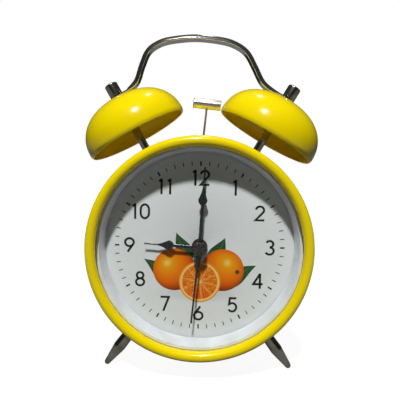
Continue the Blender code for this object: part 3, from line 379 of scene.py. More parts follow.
# %% [markdown]
# ## Metals
# Chrome is a mirror whose only detail is what it reflects, a little haze from handling, and hair-fine wiping
# marks. The posts and feet are the darker black-nickel kind. Screws and nuts are zinc plated: greyer,
# rougher and cloudy. Turned faces, such as the hub cap, carry rings from the tool.


# %% Chrome, dark chrome, zinc, brass and copper
def metal(name, colour, haze, roughness, cloud=180, marks=0.00001):
    """Haze is a second colour in clouds; roughness is its lowest and highest value."""
    made = Finish(name, Metallic=1.0)
    cloudy = made.noise(cloud, 3)
    low, high = roughness
    made.set(Base_Color=made.mixed(made.smooth(cloudy, 0.35, 0.7), colour, haze))
    wiping = made.noise(1500, 2)
    made.set(Roughness=low + made.smooth(cloudy, 0.4, 0.75) * (high - low) + wiping * 0.03)
    return made.set(Normal=made.bump(made.noise(3500, 1), marks, 0.5))


def turned_metal(name, centre, colour, roughness):
    """Rings about a centre, from a noise that depends on the distance to it alone. The colour also darkens in
    broad fans round the centre: a painted reflection of the light and dark sectors that turned metal shows.
    """
    made = Finish(name, Metallic=1.0, Base_Color=colour)
    x, z = made.split(made.spot(centre), "XZ")
    reach = (x * x + z * z)**0.5
    line = made.node("ShaderNodeCombineXYZ", (), {0: reach})
    rings = made.noise(9000, 3, line)
    angle = made.node("ShaderNodeMath", {"operation": "ARCTAN2"}, {0: z, 1: x})
    # Painted reflection: sectors of darker colour, by the angle round the centre.
    reflection_fans = made.noise(2.2, 1, made.node("ShaderNodeCombineXYZ", (), {0: angle}))
    made.set(Roughness=roughness + rings * 0.25)
    made.set(Base_Color=made.mixed(made.smooth(reflection_fans, 0.35, 0.65), colour, tuple(c * 0.3 for c in colour)))
    return made.set(Normal=made.bump(rings, 0.00003, 0.8))


CHROME = metal("chrome", (0.80, 0.80, 0.80), (0.68, 0.68, 0.69), (0.11, 0.16), 180, 0.000002)
DARK_CHROME = metal("dark_chrome", (0.50, 0.48, 0.40), (0.31, 0.29, 0.22), (0.16, 0.27))
BRIGHT = metal("bright_turned", (0.80, 0.78, 0.70), (0.66, 0.64, 0.56), (0.26, 0.32), 260, 0.000001)
ZINC = metal("zinc_steel", (0.62, 0.63, 0.64), (0.48, 0.50, 0.53), (0.28, 0.45), 600, 0.00002)
BRASS = metal("brass", (0.78, 0.57, 0.24), (0.62, 0.42, 0.16), (0.24, 0.36), 400)
HUB = turned_metal("turned_chrome", (0, DIAL_Y, CENTRE_Z), (0.20, 0.19, 0.18), 0.22)


def copper_winding():
    """Fine enamelled wire side by side: ridges along the coil, with painted shade in the grooves and a
    painted highlight on each crest.
    """
    made = Finish("enamelled_copper", Metallic=1.0, Coat_Weight=0.7)
    (x,) = made.split(made.spot(), "X")
    ridge = made.node("ShaderNodeMath", {"operation": "SINE"}, {0: x * (2 * math.pi / (0.14 * MM))})
    # Painted shade and highlight: the colour is dark in the grooves between the wires and light on their
    # crests.
    shade = made.smooth(ridge, -1.0, 0.4)
    made.set(Base_Color=made.mixed(shade, (0.30, 0.10, 0.04), (0.80, 0.34, 0.14)))
    made.set(Roughness=0.45 - shade * 0.2)
    return made.set(Normal=made.bump(ridge, 0.00004))


COPPER = copper_winding()

# %% [markdown]
# ## Plastics, rubber, lacquer and board
# Moulded black plastic has a fine spark-eroded texture, which is bump and a change of gloss. The white ring
# round the dial is glossier. Rubber is dull and dusty. The hands are lacquered, so almost smooth.


# %% Plastics and the like
def moulded(name, colour, roughness, grain, depth, coat=0.0):
    """Grain is the number of pits in a metre, and depth how deep they are."""
    made = Finish(name, Coat_Weight=coat, Specular_IOR_Level=0.5)
    pits = made.noise(grain, 2)
    broad = made.noise(grain / 24, 2)
    darker = tuple(c * 0.86 for c in colour)
    made.set(Base_Color=made.mixed(made.smooth(broad, 0.3, 0.75), colour, darker))
    made.set(Roughness=roughness + pits * 0.12 - 0.06 + broad * 0.04)
    return made.set(Normal=made.bump(pits, depth, 0.7))


WHITE = moulded("white_plastic", (0.80, 0.82, 0.86), 0.32, 2500, 0.00001, 0.25)
NATURAL = moulded("gear_plastic", (0.82, 0.80, 0.72), 0.40, 2200, 0.00001)
BLACK = moulded("black_plastic", (0.036, 0.036, 0.037), 0.40, 3200, 0.00003)
RUBBER = moulded("black_rubber", (0.022, 0.021, 0.020), 0.82, 1600, 0.00004)
LACQUER = moulded("black_lacquer", (0.012, 0.012, 0.013), 0.26, 1400, 0.000006, 0.5)


def board():
    """Green solder mask with copper tracks under it."""
    made = Finish("board_green", Coat_Weight=0.5, Roughness=0.35)
    cells = made.node("ShaderNodeTexVoronoi", {"feature": "DISTANCE_TO_EDGE", "distance": "MANHATTAN"},
                      {"Vector": made.spot(), "Scale": 260.0}, out="Distance")
    track = made.smooth(cells, 0.10, 0.16)
    made.set(Base_Color=made.mixed(track, (0.09, 0.30, 0.10), (0.012, 0.11, 0.04)))
    return made.set(Normal=made.bump(1 - track, 0.00004))


def cell_wrap():
    """A dark shrink sleeve with a lighter band at the plus end."""
    made = Finish("cell_wrap", Coat_Weight=0.6, Metallic=0.4)
    (x,) = made.split(made.spot(middle("battery_cell")), "X")
    band = made.smooth(x, 12.4 * MM, 12.6 * MM)
    scuff = made.noise(420, 3)
    made.set(Base_Color=made.mixed(band, (0.028, 0.032, 0.045), (0.60, 0.35, 0.12)))
    return made.set(Roughness=0.22 + scuff * 0.2, Normal=made.bump(scuff, 0.00003))


BOARD = board()
WRAP = cell_wrap()

# %% [markdown]
# ## Clear pane
# The pane over the dial is nearly invisible: what gives it away is the reflection that grows at a slant. So
# it is a mix of a see-through shader and a mirror, whose share grows with the fourth power of the slant. It
# is the same on both faces, so the lamp's light still reaches the dial and the rim still casts its shadow.


# %% Glass
def clear():
    made = Finish("clear_glass")
    tree = made.tree
    through = made.node("ShaderNodeBsdfTransparent", (), {"Color": (0.975, 0.985, 0.98, 1)})
    smear = made.noise(70, 3)
    mirror = made.node("ShaderNodeBsdfGlossy", (), {"Color": (1, 1, 1, 1),
                                                    "Roughness": 0.02 + made.smooth(smear, 0.45, 0.8) * 0.06})
    slant = made.node("ShaderNodeLayerWeight", (), {"Blend": 0.5}, out="Facing")
    both = made.node("ShaderNodeMixShader", (), {0: 0.010 + slant**4 * 0.5, 1: through, 2: mirror})
    tree.nodes.remove(made.shader)
    plug(tree.nodes["Material Output"].inputs["Surface"], both)
    return made.material


GLASS = clear()

# %% [markdown]
# ## Printed paper and inks
# The dial is card with a faint tooth and a soft grey print under the fruit, as a shadow. The numerals are
# solid black ink.


# %% Dial paper and ink
def paper():
    made = Finish("printed_dial", Specular_IOR_Level=0.3)
    x, z = made.split(made.spot((0, DIAL_Y, CENTRE_Z - 23.5 * MM)), "XZ")
    reach = ((x / (25 * MM))**2.0 + (z / (5.2 * MM))**2.0)**0.5
    shadow = made.smooth(reach, 1.0, 0.2)
    tooth = made.noise(4200, 3)
    fibre = made.noise(500, 4)
    colour = made.mixed(fibre, (0.80, 0.81, 0.82), (0.75, 0.76, 0.775))
    made.set(Base_Color=made.mixed(shadow * 0.30, colour, (0.33, 0.34, 0.37)))
    return made.set(Roughness=0.5 + tooth * 0.15, Normal=made.bump(tooth, 0.00001, 0.6))


def ink():
    made = Finish("dial_ink", Specular_IOR_Level=0.15)
    edge = made.noise(5200, 2)
    made.set(Base_Color=made.mixed(edge, (0.010, 0.010, 0.011), (0.022, 0.022, 0.024)))
    return made.set(Roughness=0.55 + edge * 0.1)


PAPER = paper()
INK = ink()

# %% [markdown]
# ## Rim, drum, white ring and pane
# The rim is a sheet rolled to a round bead that slides into the drum by a sleeve. The drum's back edge turns
# inwards to a flange for the back cover. All four are turned pieces.

# %% Case
BEAD_R = 2.4 * MM
drum_low, drum_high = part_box("case_shell")
DRUM_R = (drum_high.x - drum_low.x) / 2
DRUM_FRONT = depth_of(drum_low.y)
CASE_DEPTH = depth_of(drum_high.y)
WALL = 0.8 * MM


def rim():
    """A bead, most of a circle in section, run into a straight sleeve."""
    sleeve_in, sleeve_out = RIM_R - 3.8 * MM, RIM_R - 3.2 * MM
    depth = depth_of(rim_high.y)
    centre = np.array((RIM_R - BEAD_R, BEAD_R))
    start, end = (math.pi - math.acos((centre[0] - side) / BEAD_R) for side in (sleeve_in, sleeve_out))
    angle = np.linspace(start, end + 2 * math.pi, 48)
    bead = centre + BEAD_R * np.stack([np.cos(angle), np.sin(angle)], axis=1)
    sleeve = rounded([bead[-1], (sleeve_out, depth), (sleeve_in, depth), bead[0]], 0.15 * MM)
    return np.concatenate([bead, sleeve[1:-1]])


INTO_CASE = (DIAL_CENTRE, BACKWARDS)
add_turned("rolled_rim", rim(), INTO_CASE, (ENAMEL, "clock", "yellow_enamel"), "front_bezel", steps=288,
           closed=True)


def drum_mesh():
    """The drum as one wall: cylinder, rounded rear corner, flange. A patch of faces is left out over the
    hammer's slot, so the grid has lines on the slot's edges. Solidify gives the sheet its thickness."""
    flange_in = DRUM_R - 5.4 * MM
    wall_line = rounded([(DRUM_R, DRUM_FRONT), (DRUM_R, CASE_DEPTH), (flange_in, CASE_DEPTH)], 1.4 * MM, 9)
    slot_half = np.array((1.8 * MM, 1.4 * MM))
    slot_depth = depth_of(BELL_Y)
    marks = slot_depth + np.array((-1, -0.34, 0.34, 1)) * slot_half[1]
    line = np.concatenate([wall_line[:1], np.stack([np.full(4, DRUM_R), marks], axis=1), wall_line[1:]])
    edge = math.asin(slot_half[0] / DRUM_R)
    angle = np.concatenate([np.linspace(-edge, edge, 5)[:-1], np.linspace(edge, 2 * np.pi - edge, 250)[:-1]])
    spokes = np.stack([np.sin(angle), np.zeros_like(angle), np.cos(angle)], axis=1)
    points = DIAL_CENTRE + line[:, 0, None, None] * spokes + line[:, 1, None, None] * BACKWARDS
    mesh = skin("drum_wall", points)
    work = bmesh.new()
    work.from_mesh(mesh)
    gone = [f for f in work.faces if abs(f.calc_center_median().x) < slot_half[0]
            and abs(f.calc_center_median().y - BELL_Y) < slot_half[1] and f.calc_center_median().z > CENTRE_Z]
    bmesh.ops.delete(work, geom=gone, context="FACES")
    outwards = sum((f.normal.dot(f.calc_center_median() - Vector(DIAL_CENTRE)) for f in work.faces))
    if outwards < 0:
        bmesh.ops.reverse_faces(work, faces=work.faces)
    work.to_mesh(mesh)
    work.free()
    return mesh


drum = add("drum_wall", drum_mesh(), ENAMEL, "clock", "yellow_enamel", "case_shell")
sheet = drum.modifiers.new("sheet", "SOLIDIFY")
sheet.thickness = WALL
sheet.offset = -1

ring_low, ring_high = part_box("dial_ring")
RING_R = (ring_high.x - ring_low.x) / 2
ring_depths = depth_of(ring_low.y), depth_of(ring_high.y)
RING_LIP, RING_FOOT = 46.9 * MM, 45.6 * MM
ring_corners = [(RING_LIP, ring_depths[0]), (RING_R, ring_depths[0]), (RING_R, ring_depths[1]),
                (RING_FOOT, ring_depths[1])]
ring_profile = rounded(ring_corners, (0.25 * MM, 0.1 * MM, 0.1 * MM, 0.1 * MM), 5, closed=True)
add_turned("white_ring", ring_profile, INTO_CASE, (WHITE, "clock", "white_plastic"), "dial_ring", steps=256,
           closed=True)

pane_low, pane_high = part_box("front_lens")
pane_r = (pane_high.x - pane_low.x) / 2
pane_profile = rounded([(0, depth_of(pane_low.y)), (pane_r, depth_of(pane_low.y)),
                        (pane_r, depth_of(pane_high.y)), (0, depth_of(pane_high.y))], 0.2 * MM)
add_turned("clear_pane", pane_profile, INTO_CASE, (GLASS, "clock", "clear_glass"), "front_lens", steps=192)

# %% [markdown]
# ## Bells on their posts
# A bell is spun from sheet: a flat crown with a hole for the stud, a dome down to its widest ring, then a
# band that tucks in to the mouth. Its wall is thin enough for the lip to catch the light as a line. The
# nut on top is a plain turned cap with a rounded end. Posts and feet share one kind of stud, which passes
# through the drum, and one shoulder that rests on it.

# %% Bells, posts and nuts
DARK_LOOK = (DARK_CHROME, "clock", "dark_chrome")
STUD_R, STUD_END, SHOULDER = 1.3 * MM, 45.5 * MM, 50.7 * MM
BELL = dict(crown=81.5 * MM, widest=63.0 * MM, mouth=61.4 * MM, radius=25.2 * MM, lip=24.7 * MM,
            hole=1.6 * MM)


def bell_line():
    """Half the bell: radius = widest * cos(a)^0.83 and height = rise * sin(a)^0.93 from the crown to the
    widest ring, a little fuller than an ellipse, then a slow curve in to the lip."""
    a = np.radians(90 - 90 * np.linspace(0, 1, 48)**0.8)
    rise = BELL["crown"] - BELL["widest"]
    dome = np.stack([BELL["radius"] * np.abs(np.cos(a))**0.83, BELL["widest"] + rise * np.sin(a)**0.93], 1)
    dome = dome[dome[:, 0] > BELL["hole"]]
    t = np.linspace(0, 1, 14)[1:]
    tuck = np.stack([BELL["radius"] - (BELL["radius"] - BELL["lip"]) * t**1.7,
                     BELL["widest"] - (BELL["widest"] - BELL["mouth"]) * t], 1)
    return np.concatenate([[(BELL["hole"], BELL["crown"])], dome, tuck])


for side, sign in (("left", -1), ("right", 1)):
    up = lean(sign * BELL_LEAN)
    add_turned(f"{side}_bell_dome", walled(bell_line(), WALL), (BELL_CENTRE, up),
               (ENAMEL, "clock", "yellow_enamel"), f"{side}_bell", steps=224, closed=True)
    post = rounded([(0, 87.6 * MM), (STUD_R, 87.6 * MM), (STUD_R, 80.4 * MM), (1.9 * MM, 80.4 * MM),
                    (1.9 * MM, SHOULDER), (STUD_R, SHOULDER), (STUD_R, STUD_END), (0, STUD_END)], 0.15 * MM)
    add_turned(f"{side}_bell_pillar", post, (BELL_CENTRE, up), DARK_LOOK, f"{side}_bell_post", steps=64)
    nut = rounded([(0, 89.2 * MM), (3.2 * MM, 89.2 * MM), (3.2 * MM, 83.2 * MM), (1.6 * MM, 83.2 * MM),
                   (1.6 * MM, 87.9 * MM), (0, 87.9 * MM)], (0, 0.75 * MM, 0.2 * MM, 0.1 * MM, 0.1 * MM, 0), 8)
    add_turned(f"{side}_crown_nut", nut, (BELL_CENTRE, up), DARK_LOOK, f"{side}_bell_nut", steps=96)

# %% [markdown]
# ## Handle
# The handle is one strap of half-round wire, bent over the top of the clock and pressed flat at its ends,
# where the bells' nuts hold it. It is a D-shaped section carried along a smooth path.

# %% Handle
HANDLE_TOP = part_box("handle")[1].z - CENTRE_Z
FOOT_T, BAND_T, BAND_W = 1.1 * MM, 2.5 * MM, 6.0 * MM


def smooth_path(points, per_span):
    """A Catmull-Rom curve: a cubic between each two points, whose slope at a point is half the step between
    its neighbours."""
    points = np.array(points)
    ends = np.concatenate([2 * points[:1] - points[1:2], points, 2 * points[-1:] - points[-2:-1]])
    a, b, c, d = (ends[i:len(ends) - 3 + i, None] for i in range(4))
    t = (np.arange(per_span) / per_span)[None, :, None]
    curve = 0.5 * (2 * b + (c - a) * t + (2 * a - 5 * b + 4 * c - d) * t**2 + (3 * b - a - 3 * c + d) * t**3)
    return np.concatenate([curve.reshape(-1, points.shape[1]), points[-1:]])


def handle_line():
    """The strap's middle line in the plane of the bells, from foot to foot, right and up from the centre."""
    out, up = math.sin(BELL_LEAN), math.cos(BELL_LEAN)
    seat = 82.35 * MM
    top = HANDLE_TOP - BAND_T / 2
    right = [(12.8 * MM, top - 1.3 * MM), (19.5 * MM, top - 3.6 * MM), (24.0 * MM, top - 7.2 * MM),
             (27.1 * MM, top - 13.2 * MM), (30.6 * MM, top - 21.0 * MM)]
    right += [(seat * out - s * up, seat * up + s * out) for s in (6.4 * MM, 3.4 * MM, -3.4 * MM)]
    left = [(-x, z) for x, z in reversed(right)]
    line = smooth_path(left + [(0, top)] + right, 16)
    inner = right[-3][1]
    line[:, 0] -= 3.1 * MM * np.sqrt(np.clip(line[:, 1] - inner, 0, None) / (top - inner))
    return line


def handle_points():
    """Across the strap, u runs from -1 to 1: the outer face is a crown that falls off with the fourth power
    of u, and the inner face is flat with small rounded edges."""
    line = handle_line()
    step = np.linalg.norm(np.diff(line, axis=0), axis=1)
    length = np.concatenate([[0], np.cumsum(step)])
    from_end = np.minimum(length, length[-1] - length)
    tangent = np.gradient(line, axis=0)
    tangent /= np.linalg.norm(tangent, axis=1, keepdims=True)
    outward = np.stack([-tangent[:, 1], np.zeros(len(line)), tangent[:, 0]], axis=1)[:, None]
    bend = np.clip((from_end - 7 * MM) / (7 * MM), 0, 1)
    bend = (bend * bend * (3 - 2 * bend))[:, None]
    thick = FOOT_T + (BAND_T - FOOT_T) * bend
    half = BAND_W / 2 * np.sqrt(np.clip(1 - (1 - np.minimum(from_end / (BAND_W / 2), 1))**2, 0, 1))[:, None]
    u = np.sin(np.linspace(-math.pi / 2, math.pi / 2, 33))[None]
    crown = thick / 2 - bend * thick * 0.62 * u**4 - 0.1 * thick * u**8
    under = -thick / 2 + 0.25 * MM * np.clip((np.abs(u) - 0.88) / 0.12, 0, 1)**2
    sideways = np.concatenate([half * u, half * u[:, ::-1]], axis=1)
    height = np.concatenate([crown, under[:, ::-1] + 0 * thick], axis=1)
    height = height * np.minimum(1, half / (0.2 * MM) + 1e-9)
    middle_line = np.stack([line[:, 0], np.zeros(len(line)), line[:, 1]], axis=1)[:, None] + BELL_CENTRE
    return middle_line + sideways[..., None] * BACKWARDS + height[..., None] * outward


add("carry_handle", skin("carry_handle", handle_points()), CHROME, "clock", "chrome", "handle", crease=50)

# %% [markdown]
# ## Feet
# The two front feet are turned: a slim neck that swells to a shoulder, then a long taper to a small round
# tip. The third foot, behind, is a plain rubber peg with a flat end.

# %% Feet
FOOT_SPREAD = math.radians(36.7)
for side, sign in (("left", -1), ("right", 1)):
    out = lean(math.pi - sign * FOOT_SPREAD)
    tip = np.linspace(math.pi / 2, math.radians(8), 14)[1:]
    ball = np.stack([1.5 * MM * np.cos(tip), 77.4 * MM + 1.5 * MM * np.sin(tip)], axis=1)
    shank = rounded([ball[-1], (3.0 * MM, 67.2 * MM), (3.0 * MM, 66.2 * MM), (2.6 * MM, SHOULDER),
                     (STUD_R, SHOULDER), (STUD_R, STUD_END), (0, STUD_END)],
                    np.array((0, 0.9, 0.9, 0.25, 0.1, 0.1, 0)) * MM, 8)
    profile = np.concatenate([[(0, 78.9 * MM)], ball, shank[1:]])
    add_turned(f"{side}_turned_foot", profile, (BELL_CENTRE, out), DARK_LOOK, f"{side}_foot", steps=96)

peg_y = middle("rear_foot").y
peg = rounded([(0, CENTRE_Z), (2.6 * MM, CENTRE_Z), (2.1 * MM, SHOULDER), (STUD_R, SHOULDER),
               (STUD_R, STUD_END), (0, STUD_END)], (0, 0.5 * MM, 0.2 * MM, 0.1 * MM, 0.1 * MM, 0), 6)
add_turned("rubber_peg", peg, ((0, peg_y, CENTRE_Z), (0, 0, -1)), (RUBBER, "clock", "black_rubber"),
           "rear_foot", steps=80)

# %% [markdown]
# ## Hammer
# A bright turned cylinder on a thin spring wire. Its ends have a narrow chamfer that draws a light outline.

# %% Hammer head and wire
pivot, head = np.array(middle("hammer_pivot")), np.array(middle("hammer_head"))
arm = (head - pivot) / np.linalg.norm(head - pivot)
across = np.cross(BACKWARDS, arm)
HEAD_R, HEAD_HALF = 2.4 * MM, 6.7 * MM
barrel = rounded([(0, HEAD_HALF), (HEAD_R, HEAD_HALF), (HEAD_R, -HEAD_HALF), (0, -HEAD_HALF)], 0.45 * MM, 7)
add_turned("hammer_barrel", barrel, (head, across), (BRIGHT, "hammer", "chrome"), "hammer_head", steps=96)
reach = np.linalg.norm(head - pivot)
WIRE_R, WIRE_START, wire_end = 0.5 * MM, 2.2 * MM, reach - 0.3 * MM
wire = rounded([(0, wire_end), (WIRE_R, wire_end), (WIRE_R, WIRE_START), (0, WIRE_START)], 0.1 * MM)
add_turned("spring_wire", wire, (pivot, arm), (ZINC, "hammer", "zinc_steel"), "hammer_wire", steps=32)
print(f"hammer leans {math.degrees(math.atan2(arm[0], arm[2])):.1f} degrees")

# %% [markdown]
# ## Dial card with its minute marks
# The card is a flat ring with a hole for the hands' bush. Sixty marks stand round it, every fifth one bolder.
# All of them are one array: an angle for each mark, times the eight corners of a bar.

# %% Dial card and marks
DIAL_DEPTH = depth_of(DIAL_Y)
card = [(3.35 * MM, DIAL_DEPTH), (49.3 * MM, DIAL_DEPTH), (49.3 * MM, DIAL_DEPTH + 0.6 * MM),
        (3.35 * MM, DIAL_DEPTH + 0.6 * MM)]
add_turned("dial_card", rounded(card, 0.04 * MM, 3, closed=True), INTO_CASE, (PAPER, "clock", "printed_dial"),
           "dial_plate", steps=192, closed=True)
PRINT_T = 0.02 * MM


def on_dial(right, up, height):
    """Points at a height above the dial's face, from its centre."""
    right, up, height = np.broadcast_arrays(right, up, height)
    return np.stack([right, DIAL_Y - height, CENTRE_Z + up], axis=-1)


def ribbon(line, width, low=-0.004 * MM, high=PRINT_T):
    """A flat band along a line on the dial. Each edge lies half the width to one side, on the bisector at a
    corner, so that the width stays even round it."""
    line = np.array(line, float)
    step = np.diff(line, axis=0)
    step /= np.linalg.norm(step, axis=1, keepdims=True)
    normal = np.stack([-step[:, 1], step[:, 0]], axis=1)
    first, last = np.concatenate([normal[:1], normal]), np.concatenate([normal, normal[-1:]])
    bisector = first + last
    bisector /= np.linalg.norm(bisector, axis=1, keepdims=True)
    mitre = np.minimum(1 / np.maximum((bisector * first).sum(1, keepdims=True), 0.1), 2.2)
    offset = bisector * mitre * width / 2
    sides = [(offset, low), (offset, high), (-offset, high), (-offset, low)]
    ring = np.stack([on_dial(*(line + side).T, height) for side, height in sides], axis=1)
    ends = np.stack([ring[:1, [0, 1, 1, 0]], ring[-1:, [0, 1, 1, 0]]])
    return np.concatenate([ends[0], ring, ends[1]])


marks = []
for minute in range(60):
    angle = math.radians(6 * minute)
    ray = np.array((math.sin(angle), math.cos(angle)))
    bold = minute % 5 == 0
    start, width = (38.9, 0.75) if bold else (39.1, 0.42)
    marks.append(ribbon([ray * start * MM, ray * 41.1 * MM], width * MM))
add("minute_marks", skin("minute_marks", *marks), INK, "clock", "black_lacquer", crease=20)

# %% [markdown]
# ## Numerals
# The numerals are drawn with one even line, like those of a drawing stencil. Each one is a few strokes, made
# of straight runs and arcs on a stem of height 1, and a ribbon turns a stroke into ink.


# %% Strokes of the ten digits
def arc(cx, cy, rx, ry, start, end, count=22):
    """Points on an ellipse, from one angle to another in degrees, anticlockwise from the right."""
    angle = np.radians(np.linspace(start, end, count))
    return [(cx + rx * c, cy + ry * s) for c, s in zip(np.cos(angle), np.sin(angle))]


def six():
    """A ring with a straight tail that touches it on the left."""
    return [arc(0, 0.29, 0.31, 0.29, 152, 512, 40), [(0.13, 1.0), (-0.273, 0.425)]]


DIGITS = {
    "0": [arc(0, 0.62, 0.30, 0.38, 0, 180) + arc(0, 0.38, 0.30, 0.38, 180, 360) + [(0.30, 0.62)]],
    "1": [[(-0.15, 0.88), (0.04, 0.96)], [(0.04, -0.07), (0.04, 1.07)]],
    "2": [arc(0, 0.735, 0.29, 0.265, 172, -38) + [(-0.31, 0.0), (0.33, 0.0)]],
    "3": [arc(-0.01, 0.76, 0.26, 0.24, 155, -90), arc(-0.01, 0.26, 0.30, 0.26, 90, -155)],
    "4": [[(0.15, -0.07), (0.15, 1.07)], [(0.13, 1.0), (-0.33, 0.27), (0.36, 0.27)]],
    "5": [[(0.28, 1.0), (-0.19, 1.0), (-0.24, 0.54)] + arc(-0.01, 0.315, 0.30, 0.315, 128, -148)],
    "6": six(),
    "7": [[(-0.31, 1.0), (0.30, 1.0), (-0.10, -0.07)]],
    "8": [arc(0, 0.765, 0.24, 0.235, 90, 450, 36), arc(0, 0.265, 0.295, 0.265, 90, 450, 40)],
    "9": [[(-x, 1 - y) for x, y in stroke] for stroke in six()],
}
DIGIT_H, STROKE = 6.65 * MM, 1.06 * MM
PAIRS = {"10": (-0.42, 0.32), "11": (-0.35, 0.27), "12": (-0.42, 0.30)}


def numeral(text, right, up):
    """The ribbons of a number whose middle is at a place on the dial."""
    shifts = PAIRS.get(text, (0.0,))
    bands = []
    for digit, shift in zip(text, shifts):
        for stroke in DIGITS[digit]:
            line = (np.array(stroke) + (shift, -0.5)) * DIGIT_H + (right, up)
            bands.append(ribbon(line, STROKE))
    return bands


bands = []
for hour in range(1, 13):
    angle = math.radians(30 * hour)
    reach = (34.0 if hour in (3, 9) else 33.2) * MM
    bands += numeral(str(hour), reach * math.sin(angle), reach * math.cos(angle))
add("numerals", skin("numerals", *bands), INK, "clock", "black_lacquer", crease=25)

# %% [markdown]
# ## Printed fruit
# The picture on the card is two oranges, a cut half and four leaves, all of this lesson's own drawing. Each
# is a film of ink on the card. An orange is a disc shaded like a ball: from the place on the disc the ball's
# normal is worked out, and its slant to a light gives the colour.


# %% Inks of the fruit
def disc_spot(made, centre, radius):
    """Right and up on a disc, in its radii, and the distance from its middle."""
    x, z = made.split(made.spot((centre[0], DIAL_Y, CENTRE_Z + centre[1])), "XZ")
    right, up = x / radius, z / radius
    return right, up, (right * right + up * up)**0.5


def orange_ink(name, centre, radius, light):
    """The ball's height is the root of 1 - distance squared; light is where the ball faces the lamp."""
    made = Finish(name, Specular_IOR_Level=0.08, Roughness=0.6)
    right, up, away = disc_spot(made, centre, radius)
    out = (1.0001 - away * away)**0.5
    lit = right * light[0] + up * light[1] + out * light[2]
    pores = made.noise(1900, 1)
    shade = made.node("ShaderNodeValToRGB", {"stops": [
        (0.0, (0.22, 0.030, 0.002)), (0.30, (0.52, 0.068, 0.001)), (0.55, (0.76, 0.135, 0.0)),
        (0.80, (0.86, 0.200, 0.0)), (0.95, (0.88, 0.32, 0.001)), (1.0, (0.88, 0.44, 0.01))]}, {0: lit})
    dark = made.smooth(pores, 0.50, 0.68) * 0.22
    glow = made.smooth(lit, 0.975, 1.0) * 0.35
    colour = made.mixed(dark, made.mixed(glow, shade, (0.95, 0.80, 0.30)), (0.50, 0.12, 0.0))
    edge = made.smooth(away, 0.965, 1.0) * 0.5
    return made.set(Base_Color=made.mixed(edge, colour, (0.60, 0.22, 0.03)))


def slice_ink(name, centre, radius, segments=10):
    """Rings by distance: rind, white pith, flesh. Skins between segments lie where the angle, in segments,
    is near a whole number; they narrow to the core."""
    made = Finish(name, Specular_IOR_Level=0.08, Roughness=0.6)
    right, up, away = disc_spot(made, centre, radius)
    angle = made.node("ShaderNodeMath", {"operation": "ARCTAN2"}, {0: up, 1: right})
    turnshare = angle * (segments / (2 * math.pi)) + 0.31
    near = made.node("ShaderNodeMath", {"operation": "PINGPONG"}, {0: turnshare, 1: 0.5})
    gap = near * away * (2 * math.pi / segments)
    wobble = made.noise(420, 2) * 0.03
    seam = made.smooth(gap, 0.026 + wobble, 0.006)
    grain = made.node("ShaderNodeCombineXYZ", (), {0: angle * 7.0, 1: away * 2.6, 2: 0.0})
    sacs = made.noise(2.4, 3, grain)
    flesh = made.mixed(made.smooth(sacs, 0.40, 0.62), (0.66, 0.075, 0.002), (0.90, 0.33, 0.012))
    flesh = made.mixed(made.smooth(up, -0.1, -0.85) * 0.6, flesh, (0.72, 0.05, 0.004))
    pith = made.smooth(away, 0.83, 0.87)
    core = made.smooth(away, 0.12, 0.05)
    pale = made.mixed(wobble * 20, (0.90, 0.56, 0.16), (0.92, 0.70, 0.33))
    colour = made.mixed(seam * 0.45, flesh, pale)
    colour = made.mixed(core, made.mixed(pith, colour, pale), pale)
    return made.set(Base_Color=made.mixed(made.smooth(away, 0.915, 0.955), colour, (0.88, 0.30, 0.004)))


def leaf_ink():
    """Dark green with a paler middle rib and slanting veins, from the shares along and across the leaf."""
    made = Finish("leaf_ink", Specular_IOR_Level=0.15, Roughness=0.6)
    along = made.node("ShaderNodeAttribute", {"attribute_name": "share_along"}, out="Fac")
    across_it = made.node("ShaderNodeAttribute", {"attribute_name": "share_across"}, out="Fac")
    side = made.node("ShaderNodeMath", {"operation": "ABSOLUTE"}, {0: across_it})
    vein = made.node("ShaderNodeMath", {"operation": "PINGPONG"}, {0: along * 9.0 + side * 1.4, 1: 0.5})
    mottle = made.noise(700, 3)
    colour = made.mixed(mottle, (0.010, 0.048, 0.018), (0.030, 0.100, 0.034))
    colour = made.mixed(made.smooth(vein, 0.10, 0.02) * 0.4, colour, (0.07, 0.17, 0.06))
    return made.set(Base_Color=made.mixed(made.smooth(side, 0.10, 0.03) * 0.55, colour, (0.10, 0.22, 0.08)))


# %% [markdown]
# ## Films of ink
# Printed colour has an edge but hardly a thickness. Each shape is a film some hundredths of a millimetre over
# the card, and one that overlaps another lies a little higher. A leaf is a band along a line, wide in the
# middle.

# %% Films of the fruit
def blade(base, tip, half_width, thickness, low, inset=0.0, stations=40, columns=9, curve=0.0):
    """A flat shape along a line on the dial from base to tip. The half width is a function of the share of
    the way; the edge is bevelled by the inset; the middle line may bow sideways by a parabola. The base is
    closed by a cap, and the narrow end at the tip is left open."""
    base, tip = np.array(base), np.array(tip)
    t = np.linspace(0, 1, stations)
    direction = (tip - base) / np.linalg.norm(tip - base)
    normal = np.array((-direction[1], direction[0]))
    line = base + t[:, None] * (tip - base) + (4 * curve * t * (1 - t))[:, None] * normal
    width = np.maximum(half_width(t), 0)
    u = np.linspace(-1, 1, columns)
    narrower = np.maximum(width - inset, width * 0.4)
    over = narrower[:, None] * u
    side, top, edge_top = width[:, None], low + thickness, low + thickness - inset * 0.6
    sections = [(-side, low), (-side, edge_top), (over, top), (side, edge_top), (side, low)]
    ring = []
    for sideways, height in sections:
        spot = line[:, None] + sideways[..., None] * normal
        ring.append(on_dial(spot[..., 0], spot[..., 1], height))
    ring = np.concatenate(ring, axis=1)
    cap = ring[:1].copy()
    cap[..., 0], cap[..., 2] = line[0, 0], CENTRE_Z + line[0, 1]
    return np.concatenate([cap, ring])


LEAF = leaf_ink()
LEAVES = (((-3.5, -6.5), (-11.3, 6.6), 4.3, 1.0), ((4.5, -8.0), (12.4, 4.5), 4.4, -1.0),
          ((-14.0, -19.5), (-27.0, -6.6), 4.4, -1.6), ((14.0, -20.0), (27.8, -9.0), 4.4, 1.6))


def leaf_shape(width):
    """Half width = a sine of the share of the way, pulled to the base, and narrower to the tip."""
    return lambda t: width * MM * np.clip(np.sin(np.pi * t**0.75), 0, 1) * (1 - 0.3 * t)


